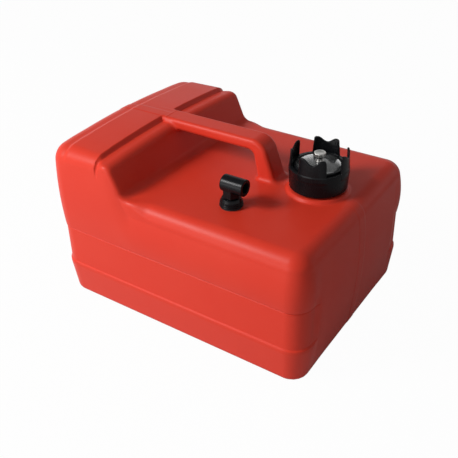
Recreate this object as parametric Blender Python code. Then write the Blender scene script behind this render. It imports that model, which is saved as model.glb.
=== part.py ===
"""Portable outboard fuel tank, built as separate named pieces, in metres with +Z up.

The tank stands on its bottom face, centred over the origin, with its length along X.
The raised block and the handle are at -X, the filler cap is at +X and the pickup elbow is at the front (-Y).
"""
import math

import bmesh
import bpy
from mathutils import Matrix

# sizes of the moulded tank
TANK_LENGTH = 0.350
TANK_WIDTH = 0.268
DECK_HEIGHT = 0.164
BLOCK_RISE = 0.0485
WALL = 0.003
CORNER_RADIUS = 0.0256
BOTTOM_TAPER = 0.0052
TOP_TAPER = 0.0035
BOTTOM_EDGE_RADIUS = 0.005
END_BULGE_TAPER = 0.0015
DECK_EDGE_RADIUS = 0.0164
BLOCK_END_RADIUS = 0.0195
DECK_END_RADIUS = 0.019
SKIRT_HEIGHT = 0.0474
SKIRT_SHOULDER = 0.005
SKIRT_CREST = 0.0015
SKIRT_CREST_INSET = 0.0004
SKIRT_STEP_INSET = 0.0022
BAND_TOP = 0.0978
BAND_INSET = 0.0029
BAND_EDGE = 0.0007
BAND_FADE = 0.015
PAD_MARGIN_STEP = 0.0020
PAD_MARGIN_PAST_CORNER = 0.0019
PAD_MARGIN_RUN = 0.006
PAD_STEP_FROM_END = 0.0768
PAD_STEP_RUN = 0.0052
PAD_STEP_DROP = 0.0056
STRIP_END_FROM_END = 0.090
BLOCK_TOP_RADIUS = 0.0116
BLOCK_FOOT_RADIUS = 0.012
BLOCK_WALL_DRAFT = math.radians(20)
BLOCK_WALL_EDGE_RADIUS = 0.0055
EDGE_EASE = 0.015
DECK_EDGE_EASE = 0.028
BLOCK_CROWN = 0.0078
WALL_BULGE = 0.0024
END_BOW = 0.0014

# sizes of the handle
HANDLE_WIDTH = 0.0285
HANDLE_THICKNESS = 0.014
HANDLE_FROM_MIDDLE = 0.0055
HANDLE_EDGE_RADIUS = 0.005
HANDLE_DROP = 0.0003
HANDLE_ROOT_FROM_END = 0.057
HANDLE_OUTER_RADIUS = 0.021
HANDLE_INNER_RADIUS = 0.008
LEG_OUTER_LEAN = math.radians(20)
LEG_INNER_LEAN = math.radians(12)
LEG_FOOT_FLARE = 0.006
LEG_FOOT_LENGTH = 0.0235
LEG_TO_BOSS = 0.0058
LEG_SINK = 0.0022

# clearance between pieces that touch, and play of pieces that turn
GAP = 0.0003
BEARING_PLAY = 0.0004

# boss, filler neck and its thread
CAP_FROM_END = 0.062
CAP_FROM_MIDDLE = 0.008
BOSS_MARGIN = 0.0025
BOSS_HEIGHT = 0.004
BOSS_EDGE = 0.003
NECK_BORE = 0.0225
NECK_WALL = 0.0035
NECK_HEIGHT = 0.015
THREAD_PITCH = 0.006
THREAD_DEPTH = 0.0018
THREAD_SINK = 0.0005
THREAD_ROOT_WIDTH = 0.0026
THREAD_CREST_WIDTH = 0.0012
THREAD_START = 0.0035
THREAD_PLAY = 0.0006
THREAD_RUNOUT_TURNS = 0.17
NECK_THREAD_TURNS = 1.5
CAP_THREAD_TURNS = 1.25
CAP_THREAD_LEAD_TURNS = 0.6

# screw collar
COLLAR_FOOT_WALL = 0.0046
COLLAR_FLARE = 0.0009
COLLAR_ABOVE_BOSS = 0.0023
COLLAR_RIM_HEIGHT = 0.027
COLLAR_LIP_THICKNESS = 0.0025
COLLAR_EDGE = 0.0008
PRONG_COUNT = 4
PRONG_TURN = math.radians(12)
PRONG_HALF_ANGLE_FOOT = math.radians(30)
PRONG_HALF_ANGLE_TOP = math.radians(27.5)
PRONG_EAR_HEIGHT = 0.047
PRONG_VALLEY_DROP = 0.006
PRONG_THICKNESS = 0.0024
PRONG_LEDGE_HEIGHT = 0.022
PRONG_LEDGE = 0.0006
PRONG_LEAN = 0.0017

# gauge housing, lens and dial
SEAL_THICKNESS = 0.002
FLANGE_THICKNESS = 0.002
CUP_WALL = 0.002
CUP_HEIGHT = 0.005
GAUGE_TUBE_PLAY = 0.0015
GAUGE_TUBE_WALL = 0.002
GAUGE_TUBE_DEPTH = 0.010
GAUGE_FLOOR = 0.002
VENT_PORT_RADIUS = 0.002
BEZEL_WALL = 0.0018
BEZEL_LIP = 0.001
BEZEL_LIP_REACH = 0.001
LENS_SEAL_THICKNESS = 0.0008
LENS_THICKNESS = 0.0016
LENS_RISE = 0.0035
DIAL_THICKNESS = 0.0008
DIAL_HOLE = 0.0026
POINTER_GAP = 0.0012
POINTER_THICKNESS = 0.0008
POINTER_HUB = 0.0034
POINTER_END_GAP = 0.0053
POINTER_TAIL = 0.006
POINTER_ROOT_WIDTH = 0.003
POINTER_TIP_WIDTH = 0.001
POINTER_TRIM = 0.0001

# vent in the middle of the lens
VENT_SLEEVE_RADIUS = 0.0039
VENT_SLEEVE_BORE = 0.0024
VENT_SLEEVE_FLANGE = 0.0052
VENT_SLEEVE_FLANGE_THICKNESS = 0.0012
VENT_SLEEVE_RISE = 0.0022
VENT_SLEEVE_DEPTH = 0.004
VENT_SEAT_BORE = 0.0012
VENT_SEAT_THICKNESS = 0.001
VENT_RING_RADIUS = 0.0008
VENT_NECK_RADIUS = 0.0036
VENT_NECK_LENGTH = 0.0013
VENT_KNOB_RADIUS = 0.0066
VENT_KNOB_THICKNESS = 0.004
VENT_KNOB_EDGE = 0.0005
VENT_KNOB_FLUTES = 24
VENT_KNOB_FLUTE_DEPTH = 0.0003

# guide rods, twisted strip and float
ROD_RADIUS = 0.00125
ROD_PLAY = 0.0005
ROD_SEAT = 0.0012
ROD_TO_FLOAT_SIDE = 0.004
END_BAR_WIDTH = 0.008
END_BAR_PAST_ROD = 0.0035
END_BAR_THICKNESS = 0.004
END_BAR_ABOVE_FLOOR = 0.008
STRIP_WIDTH = 0.006
STRIP_THICKNESS = 0.001
STRIP_SPINDLE = 0.0015
STRIP_PIVOT = 0.0010
STRIP_END_GAP = 0.0015
STRIP_TWIST_OVER_TRAVEL = math.radians(270)
FLOAT_PLAY = 0.005
FLOAT_HEIGHT = 0.028
FLOAT_BORE = 0.0042
FLOAT_EDGE = 0.002
DRIVE_PLATE_RADIUS = 0.008
DRIVE_PLATE_THICKNESS = 0.0012
SLOT_PLAY = 0.0004

# pickup fitting: screwed nut and its seal
PICKUP_FROM_END = 0.1254
PICKUP_FROM_FRONT = 0.060
SPUD_WALL = 0.0051
SPUD_DEPTH = 0.010
SPUD_ROOT = 0.0015
PICKUP_SEAL_THICKNESS = 0.0012
PICKUP_SEAL_MARGIN = 0.0008
NUT_RADIUS = 0.0134
NUT_HEIGHT = 0.0095
NUT_RIB_DEPTH = 0.0009
NUT_RIB_COUNT = 3
NUT_RIBBED_SHARE = 0.67
NUT_RIB_CREST_SHARE = 0.5
NUT_RIB_FLANK_SHARE = 0.67
NUT_RIB_TAPER_SHARE = 0.33
NUT_TOP_RADIUS = 0.0105
NUT_SPIGOT_RADIUS = 0.0096
NUT_SPIGOT_DEPTH = 0.0115

# pickup fitting: swivelling elbow, its ring and its clip
STEM_RADIUS = 0.0069
STEM_LENGTH = 0.0085
STEM_GROOVE_DEPTH = 0.0017
STEM_GROOVE_WIDTH = 0.0020
STEM_GROOVE_ABOVE_END = 0.0012
STEM_RING_RADIUS = 0.0007
CLIP_GROOVE_ABOVE_END = 0.0052
CLIP_GROOVE_WIDTH = 0.0018
CLIP_STEM_DEPTH = 0.0011
CLIP_NUT_DEPTH = 0.0015
CLIP_OPENING = math.radians(40)
ELBOW_HEX_WIDTH = 0.017
ELBOW_AXIS_HEIGHT = 0.027
ELBOW_RADIUS = 0.0095
ELBOW_REACH = 0.0187
ELBOW_BACK = 0.0095
ELBOW_EDGE = 0.0012
ELBOW_BORE = 0.0060
ELBOW_BORE_PAST_AXIS = 0.0040

# pickup fitting: dip tube and strainer
TUBE_BORE = 0.0032
TUBE_WALL = 0.0010
TUBE_ABOVE_FLOOR = 0.012
STRAINER_RADIUS = 0.0068
STRAINER_WALL = 0.0012
STRAINER_LENGTH = 0.024
STRAINER_ABOVE_FLOOR = 0.004
STRAINER_SLOT_PAIRS = 3
STRAINER_SLOT_WIDTH = 0.0022

# facets
CORNER_STEPS = 4
FILLET_STEPS = 3
ARC_STEPS = 4
ROUND = 32
SMALL_ROUND = 20
TINY_ROUND = 8
PRONG_STEPS = 6
THREAD_STEPS = 24
STRIP_STEPS = 26
TOP_STEPS = 3
BULGE_STEPS = 3
SMOOTH_ANGLE = math.radians(35)

# places worked out from the sizes
ORIGIN = (0.0, 0.0, 0.0)
HALF_LENGTH = TANK_LENGTH / 2
HALF_WIDTH = TANK_WIDTH / 2
BLOCK_HEIGHT = DECK_HEIGHT + BLOCK_RISE
NECK_RADIUS = NECK_BORE + NECK_WALL
COLLAR_BORE = NECK_RADIUS + THREAD_DEPTH + THREAD_PLAY
COLLAR_BASE_RADIUS = COLLAR_BORE + COLLAR_FOOT_WALL
BOSS_RADIUS = COLLAR_BASE_RADIUS + BOSS_MARGIN
BOSS_TOP = DECK_HEIGHT + BOSS_HEIGHT
CAP_PLACE = (HALF_LENGTH - CAP_FROM_END, CAP_FROM_MIDDLE, BOSS_TOP)
FLOAT_RADIUS = NECK_BORE - FLOAT_PLAY
ROD_OFFSET = FLOAT_RADIUS - ROD_TO_FLOAT_SIDE
PICKUP_HOLE = NUT_SPIGOT_RADIUS + GAP
PICKUP_PLACE = (HALF_LENGTH - PICKUP_FROM_END, -HALF_WIDTH + PICKUP_FROM_FRONT, DECK_HEIGHT)
TUBE_RADIUS = TUBE_BORE + TUBE_WALL


def clear_scene():
    """Removes every object that the new file starts with."""
    for item in list(bpy.data.objects):
        bpy.data.objects.remove(item, do_unlink=True)


def finish(name, colour, roughness, metallic=0.0, clear=0.0):
    """Makes one plain material.

    Args:
        name: name of the material.
        colour: red, green and blue shares, linear.
        roughness: roughness share.
        metallic: metal share.
        clear: share of light let through.

    Returns:
        The material.
    """
    made = bpy.data.materials.new(name)
    made.use_nodes = True
    shader = made.node_tree.nodes["Principled BSDF"]
    shader.inputs["Base Color"].default_value = (*colour, 1.0)
    shader.inputs["Roughness"].default_value = roughness
    shader.inputs["Metallic"].default_value = metallic
    shader.inputs["Transmission Weight"].default_value = clear
    return made


def solid(name, points, faces):
    """Makes an object from points and faces, with its faces turned outward."""
    mesh = bpy.data.meshes.new(name)
    work = bmesh.new()
    corners = [work.verts.new(point) for point in points]
    for face in faces:
        work.faces.new([corners[index] for index in face])
    bmesh.ops.recalc_face_normals(work, faces=work.faces)
    work.to_mesh(mesh)
    work.free()
    made = bpy.data.objects.new(name, mesh)
    bpy.context.scene.collection.objects.link(made)
    return made


def lofted(name, rings, closed=False):
    """Makes a solid by joining rings of equal length, capped at both ends unless the rings close on themselves."""
    size = len(rings[0])
    points = [point for ring in rings for point in ring]
    faces = []
    count = len(rings)
    for row in range(count if closed else count - 1):
        above = (row + 1) % count
        for index in range(size):
            after = (index + 1) % size
            faces.append((row * size + index, row * size + after, above * size + after, above * size + index))
    if not closed:
        faces.append(tuple(range(size))[::-1])
        faces.append(tuple((count - 1) * size + index for index in range(size)))
    return solid(name, points, faces)


def turned(name, profile, place=ORIGIN, steps=ROUND, start=0.0):
    """Turns a closed outline of (radius, height) about a vertical line through place.

    Args:
        name: name of the object.
        profile: corners of the outline; a radius of zero lies on the axis.
        place: x, y and z of the axis at height zero.
        steps: facets around.
        start: angle of the first facet corner.

    Returns:
        The object.
    """
    points = []
    slots = []
    for radius, height in profile:
        if radius == 0:
            slots.append([len(points)] * steps)
            points.append((place[0], place[1], place[2] + height))
            continue
        row = []
        for index in range(steps):
            angle = start + 2 * math.pi * index / steps
            row.append(len(points))
            points.append((place[0] + radius * math.cos(angle), place[1] + radius * math.sin(angle),
                           place[2] + height))
        slots.append(row)
    faces = []
    for row in range(len(profile)):
        low = slots[row]
        high = slots[(row + 1) % len(profile)]
        if profile[row][0] == 0 and profile[(row + 1) % len(profile)][0] == 0:
            continue
        for index in range(steps):
            after = (index + 1) % steps
            corners = [low[index], low[after], high[after], high[index]]
            kept = [corner for spot, corner in enumerate(corners) if corner not in corners[:spot]]
            if len(kept) > 2:
                faces.append(tuple(kept))
    return solid(name, points, faces)


def peg(name, radius, bottom, top, place=ORIGIN, steps=ROUND):
    """Makes a plain upright cylinder between two heights."""
    return turned(name, [(0, bottom), (radius, bottom), (radius, top), (0, top)], place, steps, math.pi / steps)


def flat_ring(name, inner, outer, low, high, steps=ROUND):
    """Makes a plain ring or tube about the origin's upright axis."""
    return turned(name, [(inner, low), (outer, low), (outer, high), (inner, high)], ORIGIN, steps)


def o_ring(name, inner, middle, section):
    """Makes a round sealing ring from its inner radius, its height and the radius of its section."""
    outline = []
    for step in range(TINY_ROUND):
        turn = 2 * math.pi * step / TINY_ROUND
        outline.append((inner + section + section * math.cos(turn), middle + section * math.sin(turn)))
    return turned(name, outline, ORIGIN, SMALL_ROUND)


def slab(name, low, high):
    """Makes a box between two corners."""
    points = [(x, y, z) for z in (low[2], high[2]) for y in (low[1], high[1]) for x in (low[0], high[0])]
    faces = [(0, 1, 3, 2), (4, 5, 7, 6), (0, 1, 5, 4), (2, 3, 7, 6), (0, 2, 6, 4), (1, 3, 7, 5)]
    return solid(name, points, faces)


def merged(base, other, action):
    """Joins, cuts or crosses one solid with another, keeps the result in base and removes the other."""
    change = base.modifiers.new(action, "BOOLEAN")
    change.operation = action
    change.solver = "EXACT"
    change.object = other
    bpy.context.view_layer.update()
    seen = base.evaluated_get(bpy.context.evaluated_depsgraph_get())
    result = bpy.data.meshes.new_from_object(seen)
    base.modifiers.remove(change)
    base.data = result
    bpy.data.objects.remove(other, do_unlink=True)
    return base


def anchor(name, place):
    """Makes the empty on whose upright axis the pieces of a fitting are hung."""
    made = bpy.data.objects.new(name, None)
    made.location = place
    bpy.context.scene.collection.objects.link(made)
    return made


def put(made, look, axis=None):
    """Gives a piece its material and smoothing, and hangs it from the empty on its own axis."""
    made.data.materials.clear()
    made.data.materials.append(look)
    made.data.shade_smooth()
    made.data.set_sharp_from_angle(angle=SMOOTH_ANGLE)
    made.parent = axis
    return made


def smoothstep(value):
    """Eases a share from zero to one."""
    held = min(max(value, 0.0), 1.0)
    return held * held * (3 - 2 * held)


def wall_inset(height, side, limit):
    """Distance of the outer wall inside the tank's full outline at one height.

    Args:
        height: height above the bottom.
        side: one on the long sides and corners, where the skirt and band stand out, and zero on the ends.
        limit: height at which the wall turns into the top edge.

    Returns:
        The inset.
    """
    low_share = min(height / SKIRT_HEIGHT, 1.0)
    top_share = max((height - SKIRT_HEIGHT) / (limit - SKIRT_HEIGHT), 0.0)
    end = BOTTOM_TAPER + (END_BULGE_TAPER - BOTTOM_TAPER) * low_share + (TOP_TAPER - END_BULGE_TAPER) * top_share
    end -= WALL_BULGE * 4 * top_share * (1 - top_share)
    if height < SKIRT_HEIGHT:
        flank = BOTTOM_TAPER * (1 - height / SKIRT_HEIGHT)
        flank = max(flank, SKIRT_CREST_INSET * smoothstep((height - SKIRT_HEIGHT + SKIRT_SHOULDER) / SKIRT_SHOULDER))
    elif height < BAND_TOP:
        share = (height - SKIRT_HEIGHT) / (BAND_TOP - SKIRT_HEIGHT)
        flank = SKIRT_STEP_INSET + (BAND_INSET - SKIRT_STEP_INSET) * share
    else:
        share = (height - BAND_TOP) / (limit - BAND_TOP)
        flank = SKIRT_STEP_INSET + (TOP_TAPER - SKIRT_STEP_INSET) * share - WALL_BULGE * 4 * share * (1 - share)
    return end + (flank - end) * side


def top_line():
    """Outline of the top seen from the front, from the left corner's end to the right corner's start.

    Returns:
        A list of (x, z, lean_x, lean_z, edge radius), where the lean is the direction from the inside to the surface.
    """
    left = -HALF_LENGTH
    pad = BLOCK_HEIGHT
    strip = BLOCK_HEIGHT - PAD_STEP_DROP
    line = []
    first = left + CORNER_RADIUS
    start = first + PAD_MARGIN_PAST_CORNER
    for step in range(FILLET_STEPS + 1):
        share = step / FILLET_STEPS
        line.append((start + PAD_MARGIN_RUN * share, pad - PAD_MARGIN_STEP * (1 - smoothstep(share)), 0.0, 1.0))
    line.insert(0, (first, pad - PAD_MARGIN_STEP, 0.0, 1.0))
    start = left + PAD_STEP_FROM_END
    for step in range(ARC_STEPS + 1):
        share = step / ARC_STEPS
        line.append((start + PAD_STEP_RUN * share, pad - PAD_STEP_DROP * smoothstep(share), 0.0, 1.0))
    centre = left + STRIP_END_FROM_END
    for step in range(ARC_STEPS + 1):
        lean = math.pi / 2 - (math.pi / 2 - BLOCK_WALL_DRAFT) * step / ARC_STEPS
        line.append((centre + BLOCK_TOP_RADIUS * math.cos(lean), strip - BLOCK_TOP_RADIUS * (1 - math.sin(lean)),
                     math.cos(lean), math.sin(lean)))
    foot = DECK_HEIGHT + BLOCK_FOOT_RADIUS
    end_x, end_z = line[-1][0], line[-1][1]
    wall_foot = foot - BLOCK_FOOT_RADIUS * math.sin(BLOCK_WALL_DRAFT)
    wall_x = end_x + (end_z - wall_foot) * math.tan(BLOCK_WALL_DRAFT)
    centre = wall_x + BLOCK_FOOT_RADIUS * math.cos(BLOCK_WALL_DRAFT)
    for step in range(ARC_STEPS + 1):
        lean = BLOCK_WALL_DRAFT + (math.pi / 2 - BLOCK_WALL_DRAFT) * step / ARC_STEPS
        line.append((centre - BLOCK_FOOT_RADIUS * math.cos(lean), foot - BLOCK_FOOT_RADIUS * math.sin(lean),
                     math.cos(lean), math.sin(lean)))
    last = HALF_LENGTH - CORNER_RADIUS
    for step in range(1, FILLET_STEPS):
        line.append((centre + DECK_EDGE_EASE * step / (FILLET_STEPS - 1), DECK_HEIGHT, 0.0, 1.0))
    line.append(((line[-1][0] + last) / 2, DECK_HEIGHT, 0.0, 1.0))
    line.append((last, DECK_HEIGHT, 0.0, 1.0))
    ease_end = left + PAD_STEP_FROM_END
    wall_start = left + STRIP_END_FROM_END
    room = CORNER_RADIUS - TOP_TAPER - END_BOW
    found = []
    for x, z, lean_x, lean_z in line:
        share = smoothstep((x - first) / (ease_end - first))
        edge = BLOCK_END_RADIUS + (DECK_EDGE_RADIUS - BLOCK_END_RADIUS) * share
        share = smoothstep((x - centre) / (last - centre))
        edge += (DECK_END_RADIUS - DECK_EDGE_RADIUS) * share
        away = max((wall_start - x) / EDGE_EASE, (x - centre) / DECK_EDGE_EASE)
        edge += (BLOCK_WALL_EDGE_RADIUS - edge) * (1 - smoothstep(away))
        found.append((x, z, lean_x, lean_z, min(edge, room)))
    return found


def end_shares():
    """Places of the points along each end of the tank, as shares from its middle, in rising order."""
    reach = HALF_WIDTH - CORNER_RADIUS
    fade = (reach - BAND_FADE) / reach
    inner = [fade * step / TOP_STEPS for step in range(TOP_STEPS)]
    rising = inner + [fade, 1.0]
    return [-share for share in rising[:0:-1]] + rising


def dome(y):
    """Share of the block's height above the deck that is left at a distance from the tank's middle."""
    return 1 - BLOCK_CROWN / (BLOCK_HEIGHT - DECK_HEIGHT) * (y / HALF_WIDTH) ** 2


def crowned(point):
    """Lowers a point of the block towards the long sides, so that the top of the block is slightly domed."""
    x, y, z = point
    return (x, y, min(z, DECK_HEIGHT + (z - DECK_HEIGHT) * dome(y)))


def tank_rings(inward):
    """Rings of points around the tank from its bottom to the edge of its top.

    Args:
        inward: how far inside the outer skin the rings lie.

    Returns:
        The rings, and the stations that each ring passes.
    """
    line = top_line()
    reach = CORNER_RADIUS
    stations = []
    corner_x = HALF_LENGTH - reach
    corner_y = HALF_WIDTH - reach
    left_top, right_top = line[0], line[-1]

    def arc(centre_x, centre_y, begin, top):
        """Adds the stations around one upright corner."""
        for step in range(1, CORNER_STEPS):
            turn = begin + math.pi / 2 * step / CORNER_STEPS
            stations.append(("arc", centre_x, centre_y, turn, top))

    def ends(x, sign, top):
        """Adds the stations across one end."""
        for share in end_shares():
            stations.append(("end", x, sign * share * corner_y, sign, top))

    ends(-HALF_LENGTH, -1, left_top)
    arc(-corner_x, -corner_y, math.pi, left_top)
    stations.extend(("long", 0.0, -1, 0.0, point) for point in line)
    arc(corner_x, -corner_y, -math.pi / 2, right_top)
    ends(HALF_LENGTH, 1, right_top)
    arc(corner_x, corner_y, 0.0, right_top)
    stations.extend(("long", 0.0, 1, 0.0, point) for point in line[::-1])
    arc(-corner_x, corner_y, math.pi / 2, left_top)

    def point_at(station, height, inset, drop):
        """Point of a station at a height, an inset from the full outline and a drop below the top."""
        kind, x, y, turn, top = station
        if kind == "long":
            return (top[0] - top[2] * drop, y * (HALF_WIDTH - inset), height)
        if kind == "arc":
            radius = reach - inset
            return (x + radius * math.cos(turn), y + radius * math.sin(turn), height)
        bow = END_BOW * min(height / BAND_TOP, 1.0) * (1 - (y / corner_y) ** 2)
        return (math.copysign(HALF_LENGTH - inset + bow, x), y, height)

    def side_share(station):
        """Share of the long side's form at a station."""
        if station[0] == "end" and abs(station[2]) < corner_y - BAND_FADE / 2:
            return 0.0
        return 1.0

    def wall_end(station):
        """Height at which the wall turns into the top edge."""
        top = station[4]
        return top[1] - top[3] * top[4]

    def wall_point(station, height):
        """Point of the wall at a station and height."""
        inset = wall_inset(height, side_share(station), wall_end(station)) + inward
        return point_at(station, height, inset, station[4][4])

    rings = []
    low = BOTTOM_EDGE_RADIUS
    for step in range(FILLET_STEPS):
        turn = math.pi / 2 * step / FILLET_STEPS
        ring = []
        for station in stations:
            edge = low - inward
            height = inward + edge * (1 - math.cos(turn))
            inset = wall_inset(low, side_share(station), wall_end(station)) + inward + edge * (1 - math.sin(turn))
            ring.append(point_at(station, height, inset, station[4][4]))
        rings.append(ring)
    heights = [low, SKIRT_HEIGHT, BAND_TOP]
    if not inward:
        heights[1:1] = [SKIRT_HEIGHT - SKIRT_SHOULDER, SKIRT_HEIGHT - SKIRT_CREST]
        heights[-1:-1] = [BAND_TOP - BAND_EDGE]
    for height in heights:
        rings.append([wall_point(station, height) for station in stations])
    for step in range(1, BULGE_STEPS):
        share = step / BULGE_STEPS
        rings.append([wall_point(station, BAND_TOP + (wall_end(station) - BAND_TOP) * share)
                      for station in stations])
    for step in range(FILLET_STEPS + 1):
        turn = math.pi / 2 * step / FILLET_STEPS
        ring = []
        for station in stations:
            top = station[4]
            edge = top[4] - inward
            drop = inward + edge * (1 - math.sin(turn))
            inset = TOP_TAPER + inward + edge * (1 - math.cos(turn))
            ring.append(crowned(point_at(station, top[1] - top[3] * drop, inset, drop)))
        rings.append(ring)
    return rings, stations


def tank_body(name, inward):
    """Makes the closed outer form of the tank, or the form of its inside."""
    rings, stations = tank_rings(inward)
    size = len(stations)
    points = [point for ring in rings for point in ring]
    faces = [tuple(range(size))[::-1]]
    for row in range(len(rings) - 1):
        for index in range(size):
            after = (index + 1) % size
            faces.append((row * size + index, row * size + after, (row + 1) * size + after, (row + 1) * size + index))
    top = (len(rings) - 1) * size
    shares = end_shares()
    wide = len(shares)
    count = (size - 2 * wide) // 2
    lines = [[top + index for index in range(wide)]]
    for index in range(count):
        back = top + size - 1 - index
        front = top + wide + index
        line = [back]
        x, y, z = points[front]
        above = max(z - DECK_HEIGHT, 0.0) / dome(y)
        for share in shares[-2:0:-1]:
            inner = -share * y
            line.append(len(points))
            points.append((x, inner, DECK_HEIGHT + above * dome(inner) if above else z))
        line.append(front)
        lines.append(line)
    lines.append([top + wide + count + index for index in range(wide)][::-1])
    for before, after in zip(lines, lines[1:]):
        for index in range(wide - 1):
            faces.append((before[index], before[index + 1], after[index + 1], after[index]))
    return solid(name, points, faces)


def rounded_section(low, high, half_width, edge):
    """Ring of a rounded bar section between two points of its middle plane.

    Args:
        low: (x, z) of the inner or lower side.
        high: (x, z) of the outer or upper side.
        half_width: half of the width across the tank.
        edge: radius of the long edges.

    Returns:
        Points of the ring.
    """
    tall = math.dist(low, high)
    along = ((high[0] - low[0]) / tall, (high[1] - low[1]) / tall)
    ring = []
    corners = [(half_width - edge, tall - edge, 0), (-half_width + edge, tall - edge, 1),
               (-half_width + edge, edge, 2), (half_width - edge, edge, 3)]
    for across, up, quarter in corners:
        for step in range(FILLET_STEPS):
            turn = math.pi / 2 * (quarter + step / (FILLET_STEPS - 1))
            side = across + edge * math.cos(turn)
            rise = up + edge * math.sin(turn)
            ring.append((low[0] + along[0] * rise, side, low[1] + along[1] * rise))
    return ring


def handle_form(name, inward):
    """Makes the handle bar and its leg, from inside the block to inside the deck."""
    top = BLOCK_HEIGHT - HANDLE_DROP - inward
    under = BLOCK_HEIGHT - HANDLE_THICKNESS + inward
    foot = DECK_HEIGHT
    root = -HALF_LENGTH + HANDLE_ROOT_FROM_END + inward
    leg_end = CAP_PLACE[0] - BOSS_RADIUS - LEG_TO_BOSS - LEG_FOOT_FLARE
    outer_radius = HANDLE_OUTER_RADIUS - inward
    inner_radius = HANDLE_INNER_RADIUS + inward
    bend = math.pi / 2 - LEG_OUTER_LEAN
    straight = BLOCK_RISE - HANDLE_DROP - HANDLE_OUTER_RADIUS * (1 - math.cos(bend))
    outer_x = leg_end - straight * math.tan(LEG_OUTER_LEAN) - HANDLE_OUTER_RADIUS * math.sin(bend)
    inner_foot = leg_end - LEG_FOOT_LENGTH
    inner_bend = math.pi / 2 - LEG_INNER_LEAN
    straight = BLOCK_RISE - HANDLE_THICKNESS - HANDLE_INNER_RADIUS * (1 - math.cos(inner_bend))
    inner_x = inner_foot - straight * math.tan(LEG_INNER_LEAN) - HANDLE_INNER_RADIUS * math.sin(inner_bend)
    half = HANDLE_WIDTH / 2 - inward
    edge = HANDLE_EDGE_RADIUS - inward
    rings = [rounded_section((root, under), (root, top), half, edge)]
    for step in range(ARC_STEPS + 1):
        outer_turn = bend * step / ARC_STEPS
        inner_turn = inner_bend * step / ARC_STEPS
        high = (outer_x + outer_radius * math.sin(outer_turn), top - outer_radius * (1 - math.cos(outer_turn)))
        low = (inner_x + inner_radius * math.sin(inner_turn), under - inner_radius * (1 - math.cos(inner_turn)))
        rings.append(rounded_section(low, high, half, edge))
    outer_side = inward / math.cos(LEG_OUTER_LEAN)
    inner_side = inward / math.cos(LEG_INNER_LEAN)
    for step in range(FILLET_STEPS + 1):
        turn = math.pi / 2 * step / FILLET_STEPS
        above = LEG_FOOT_FLARE * (1 - math.sin(turn))
        height = foot + above
        grow = LEG_FOOT_FLARE * (1 - math.cos(turn))
        outer = leg_end - above * math.tan(LEG_OUTER_LEAN) - outer_side + grow
        inner = inner_foot - above * math.tan(LEG_INNER_LEAN) + inner_side - grow
        rings.append(rounded_section((inner, height), (outer, height), half + grow, edge + grow))
    end = foot - LEG_SINK - inward
    last = rings[-1]
    rings.append([(x, y, end) for x, y, z in last])
    return lofted(name, [[(x, HANDLE_FROM_MIDDLE + y, z) for x, y, z in ring] for ring in rings])


def screw_thread(name, radius, depth, low, turns, begin, place=ORIGIN):
    """Makes a helical thread ridge with ends that run out into the cylinder.

    Args:
        name: name of the object.
        radius: radius of the cylinder that carries the ridge.
        depth: height of the ridge, negative where it stands inward.
        low: height of the ridge's middle at its start.
        turns: number of turns.
        begin: angle of its start.
        place: x, y and z of the axis at height zero.

    Returns:
        The object.
    """
    steps = int(THREAD_STEPS * turns)
    sink = math.copysign(THREAD_SINK, depth)
    wide = THREAD_ROOT_WIDTH / 2
    rings = []
    for step in range(steps + 1):
        share = step / steps
        turn = begin + 2 * math.pi * turns * share
        middle = low + THREAD_PITCH * turns * share
        fade = smoothstep(min(share, 1 - share) * turns / THREAD_RUNOUT_TURNS)
        crest = radius + depth * fade if fade else radius - sink / 2
        narrow = (THREAD_CREST_WIDTH + (THREAD_ROOT_WIDTH - THREAD_CREST_WIDTH) * (1 - fade)) / 2
        ring = []
        for reach, rise in ((radius - sink, -wide), (crest, -narrow), (crest, narrow), (radius - sink, wide)):
            ring.append((place[0] + reach * math.cos(turn), place[1] + reach * math.sin(turn),
                         place[2] + middle + rise))
        rings.append(ring)
    return lofted(name, rings)


def make_tank(look):
    """Makes the hollow moulded tank with its handle, boss, threaded neck and pickup boss."""
    deck = (CAP_PLACE[0], CAP_PLACE[1], DECK_HEIGHT)
    tank = tank_body("tank_shell", 0.0)
    merged(tank, handle_form("handle_outer", 0.0), "UNION")
    bevel = BOSS_EDGE * (1 - math.cos(math.pi / 4))
    neck_top = BOSS_HEIGHT + NECK_HEIGHT
    boss = [(0, -WALL / 2), (BOSS_RADIUS, -WALL / 2), (BOSS_RADIUS, BOSS_HEIGHT - BOSS_EDGE),
            (BOSS_RADIUS - bevel, BOSS_HEIGHT - bevel), (BOSS_RADIUS - BOSS_EDGE, BOSS_HEIGHT),
            (NECK_RADIUS, BOSS_HEIGHT), (NECK_RADIUS, neck_top), (0, neck_top)]
    merged(tank, turned("boss", boss, deck), "UNION")
    thread = screw_thread("neck_thread", NECK_RADIUS, THREAD_DEPTH, THREAD_START, NECK_THREAD_TURNS, 0.0, CAP_PLACE)
    merged(tank, thread, "UNION")
    hollow = tank_body("inside", WALL)
    merged(hollow, handle_form("handle_inside", WALL), "UNION")
    merged(tank, hollow, "DIFFERENCE")
    spud_radius = PICKUP_HOLE + SPUD_WALL
    spud_top = -WALL / 2
    spud = [(0, -SPUD_DEPTH - WALL), (spud_radius, -SPUD_DEPTH - WALL), (spud_radius, -WALL - SPUD_ROOT),
            (spud_radius + SPUD_ROOT, -WALL), (spud_radius + SPUD_ROOT, spud_top), (0, spud_top)]
    merged(tank, turned("spud", spud, PICKUP_PLACE), "UNION")
    merged(tank, peg("pickup_hole", PICKUP_HOLE, -SPUD_DEPTH - 2 * WALL, WALL, PICKUP_PLACE), "DIFFERENCE")
    merged(tank, peg("neck_bore", NECK_BORE, -2 * WALL, neck_top + WALL, deck), "DIFFERENCE")
    return put(tank, look)


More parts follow.
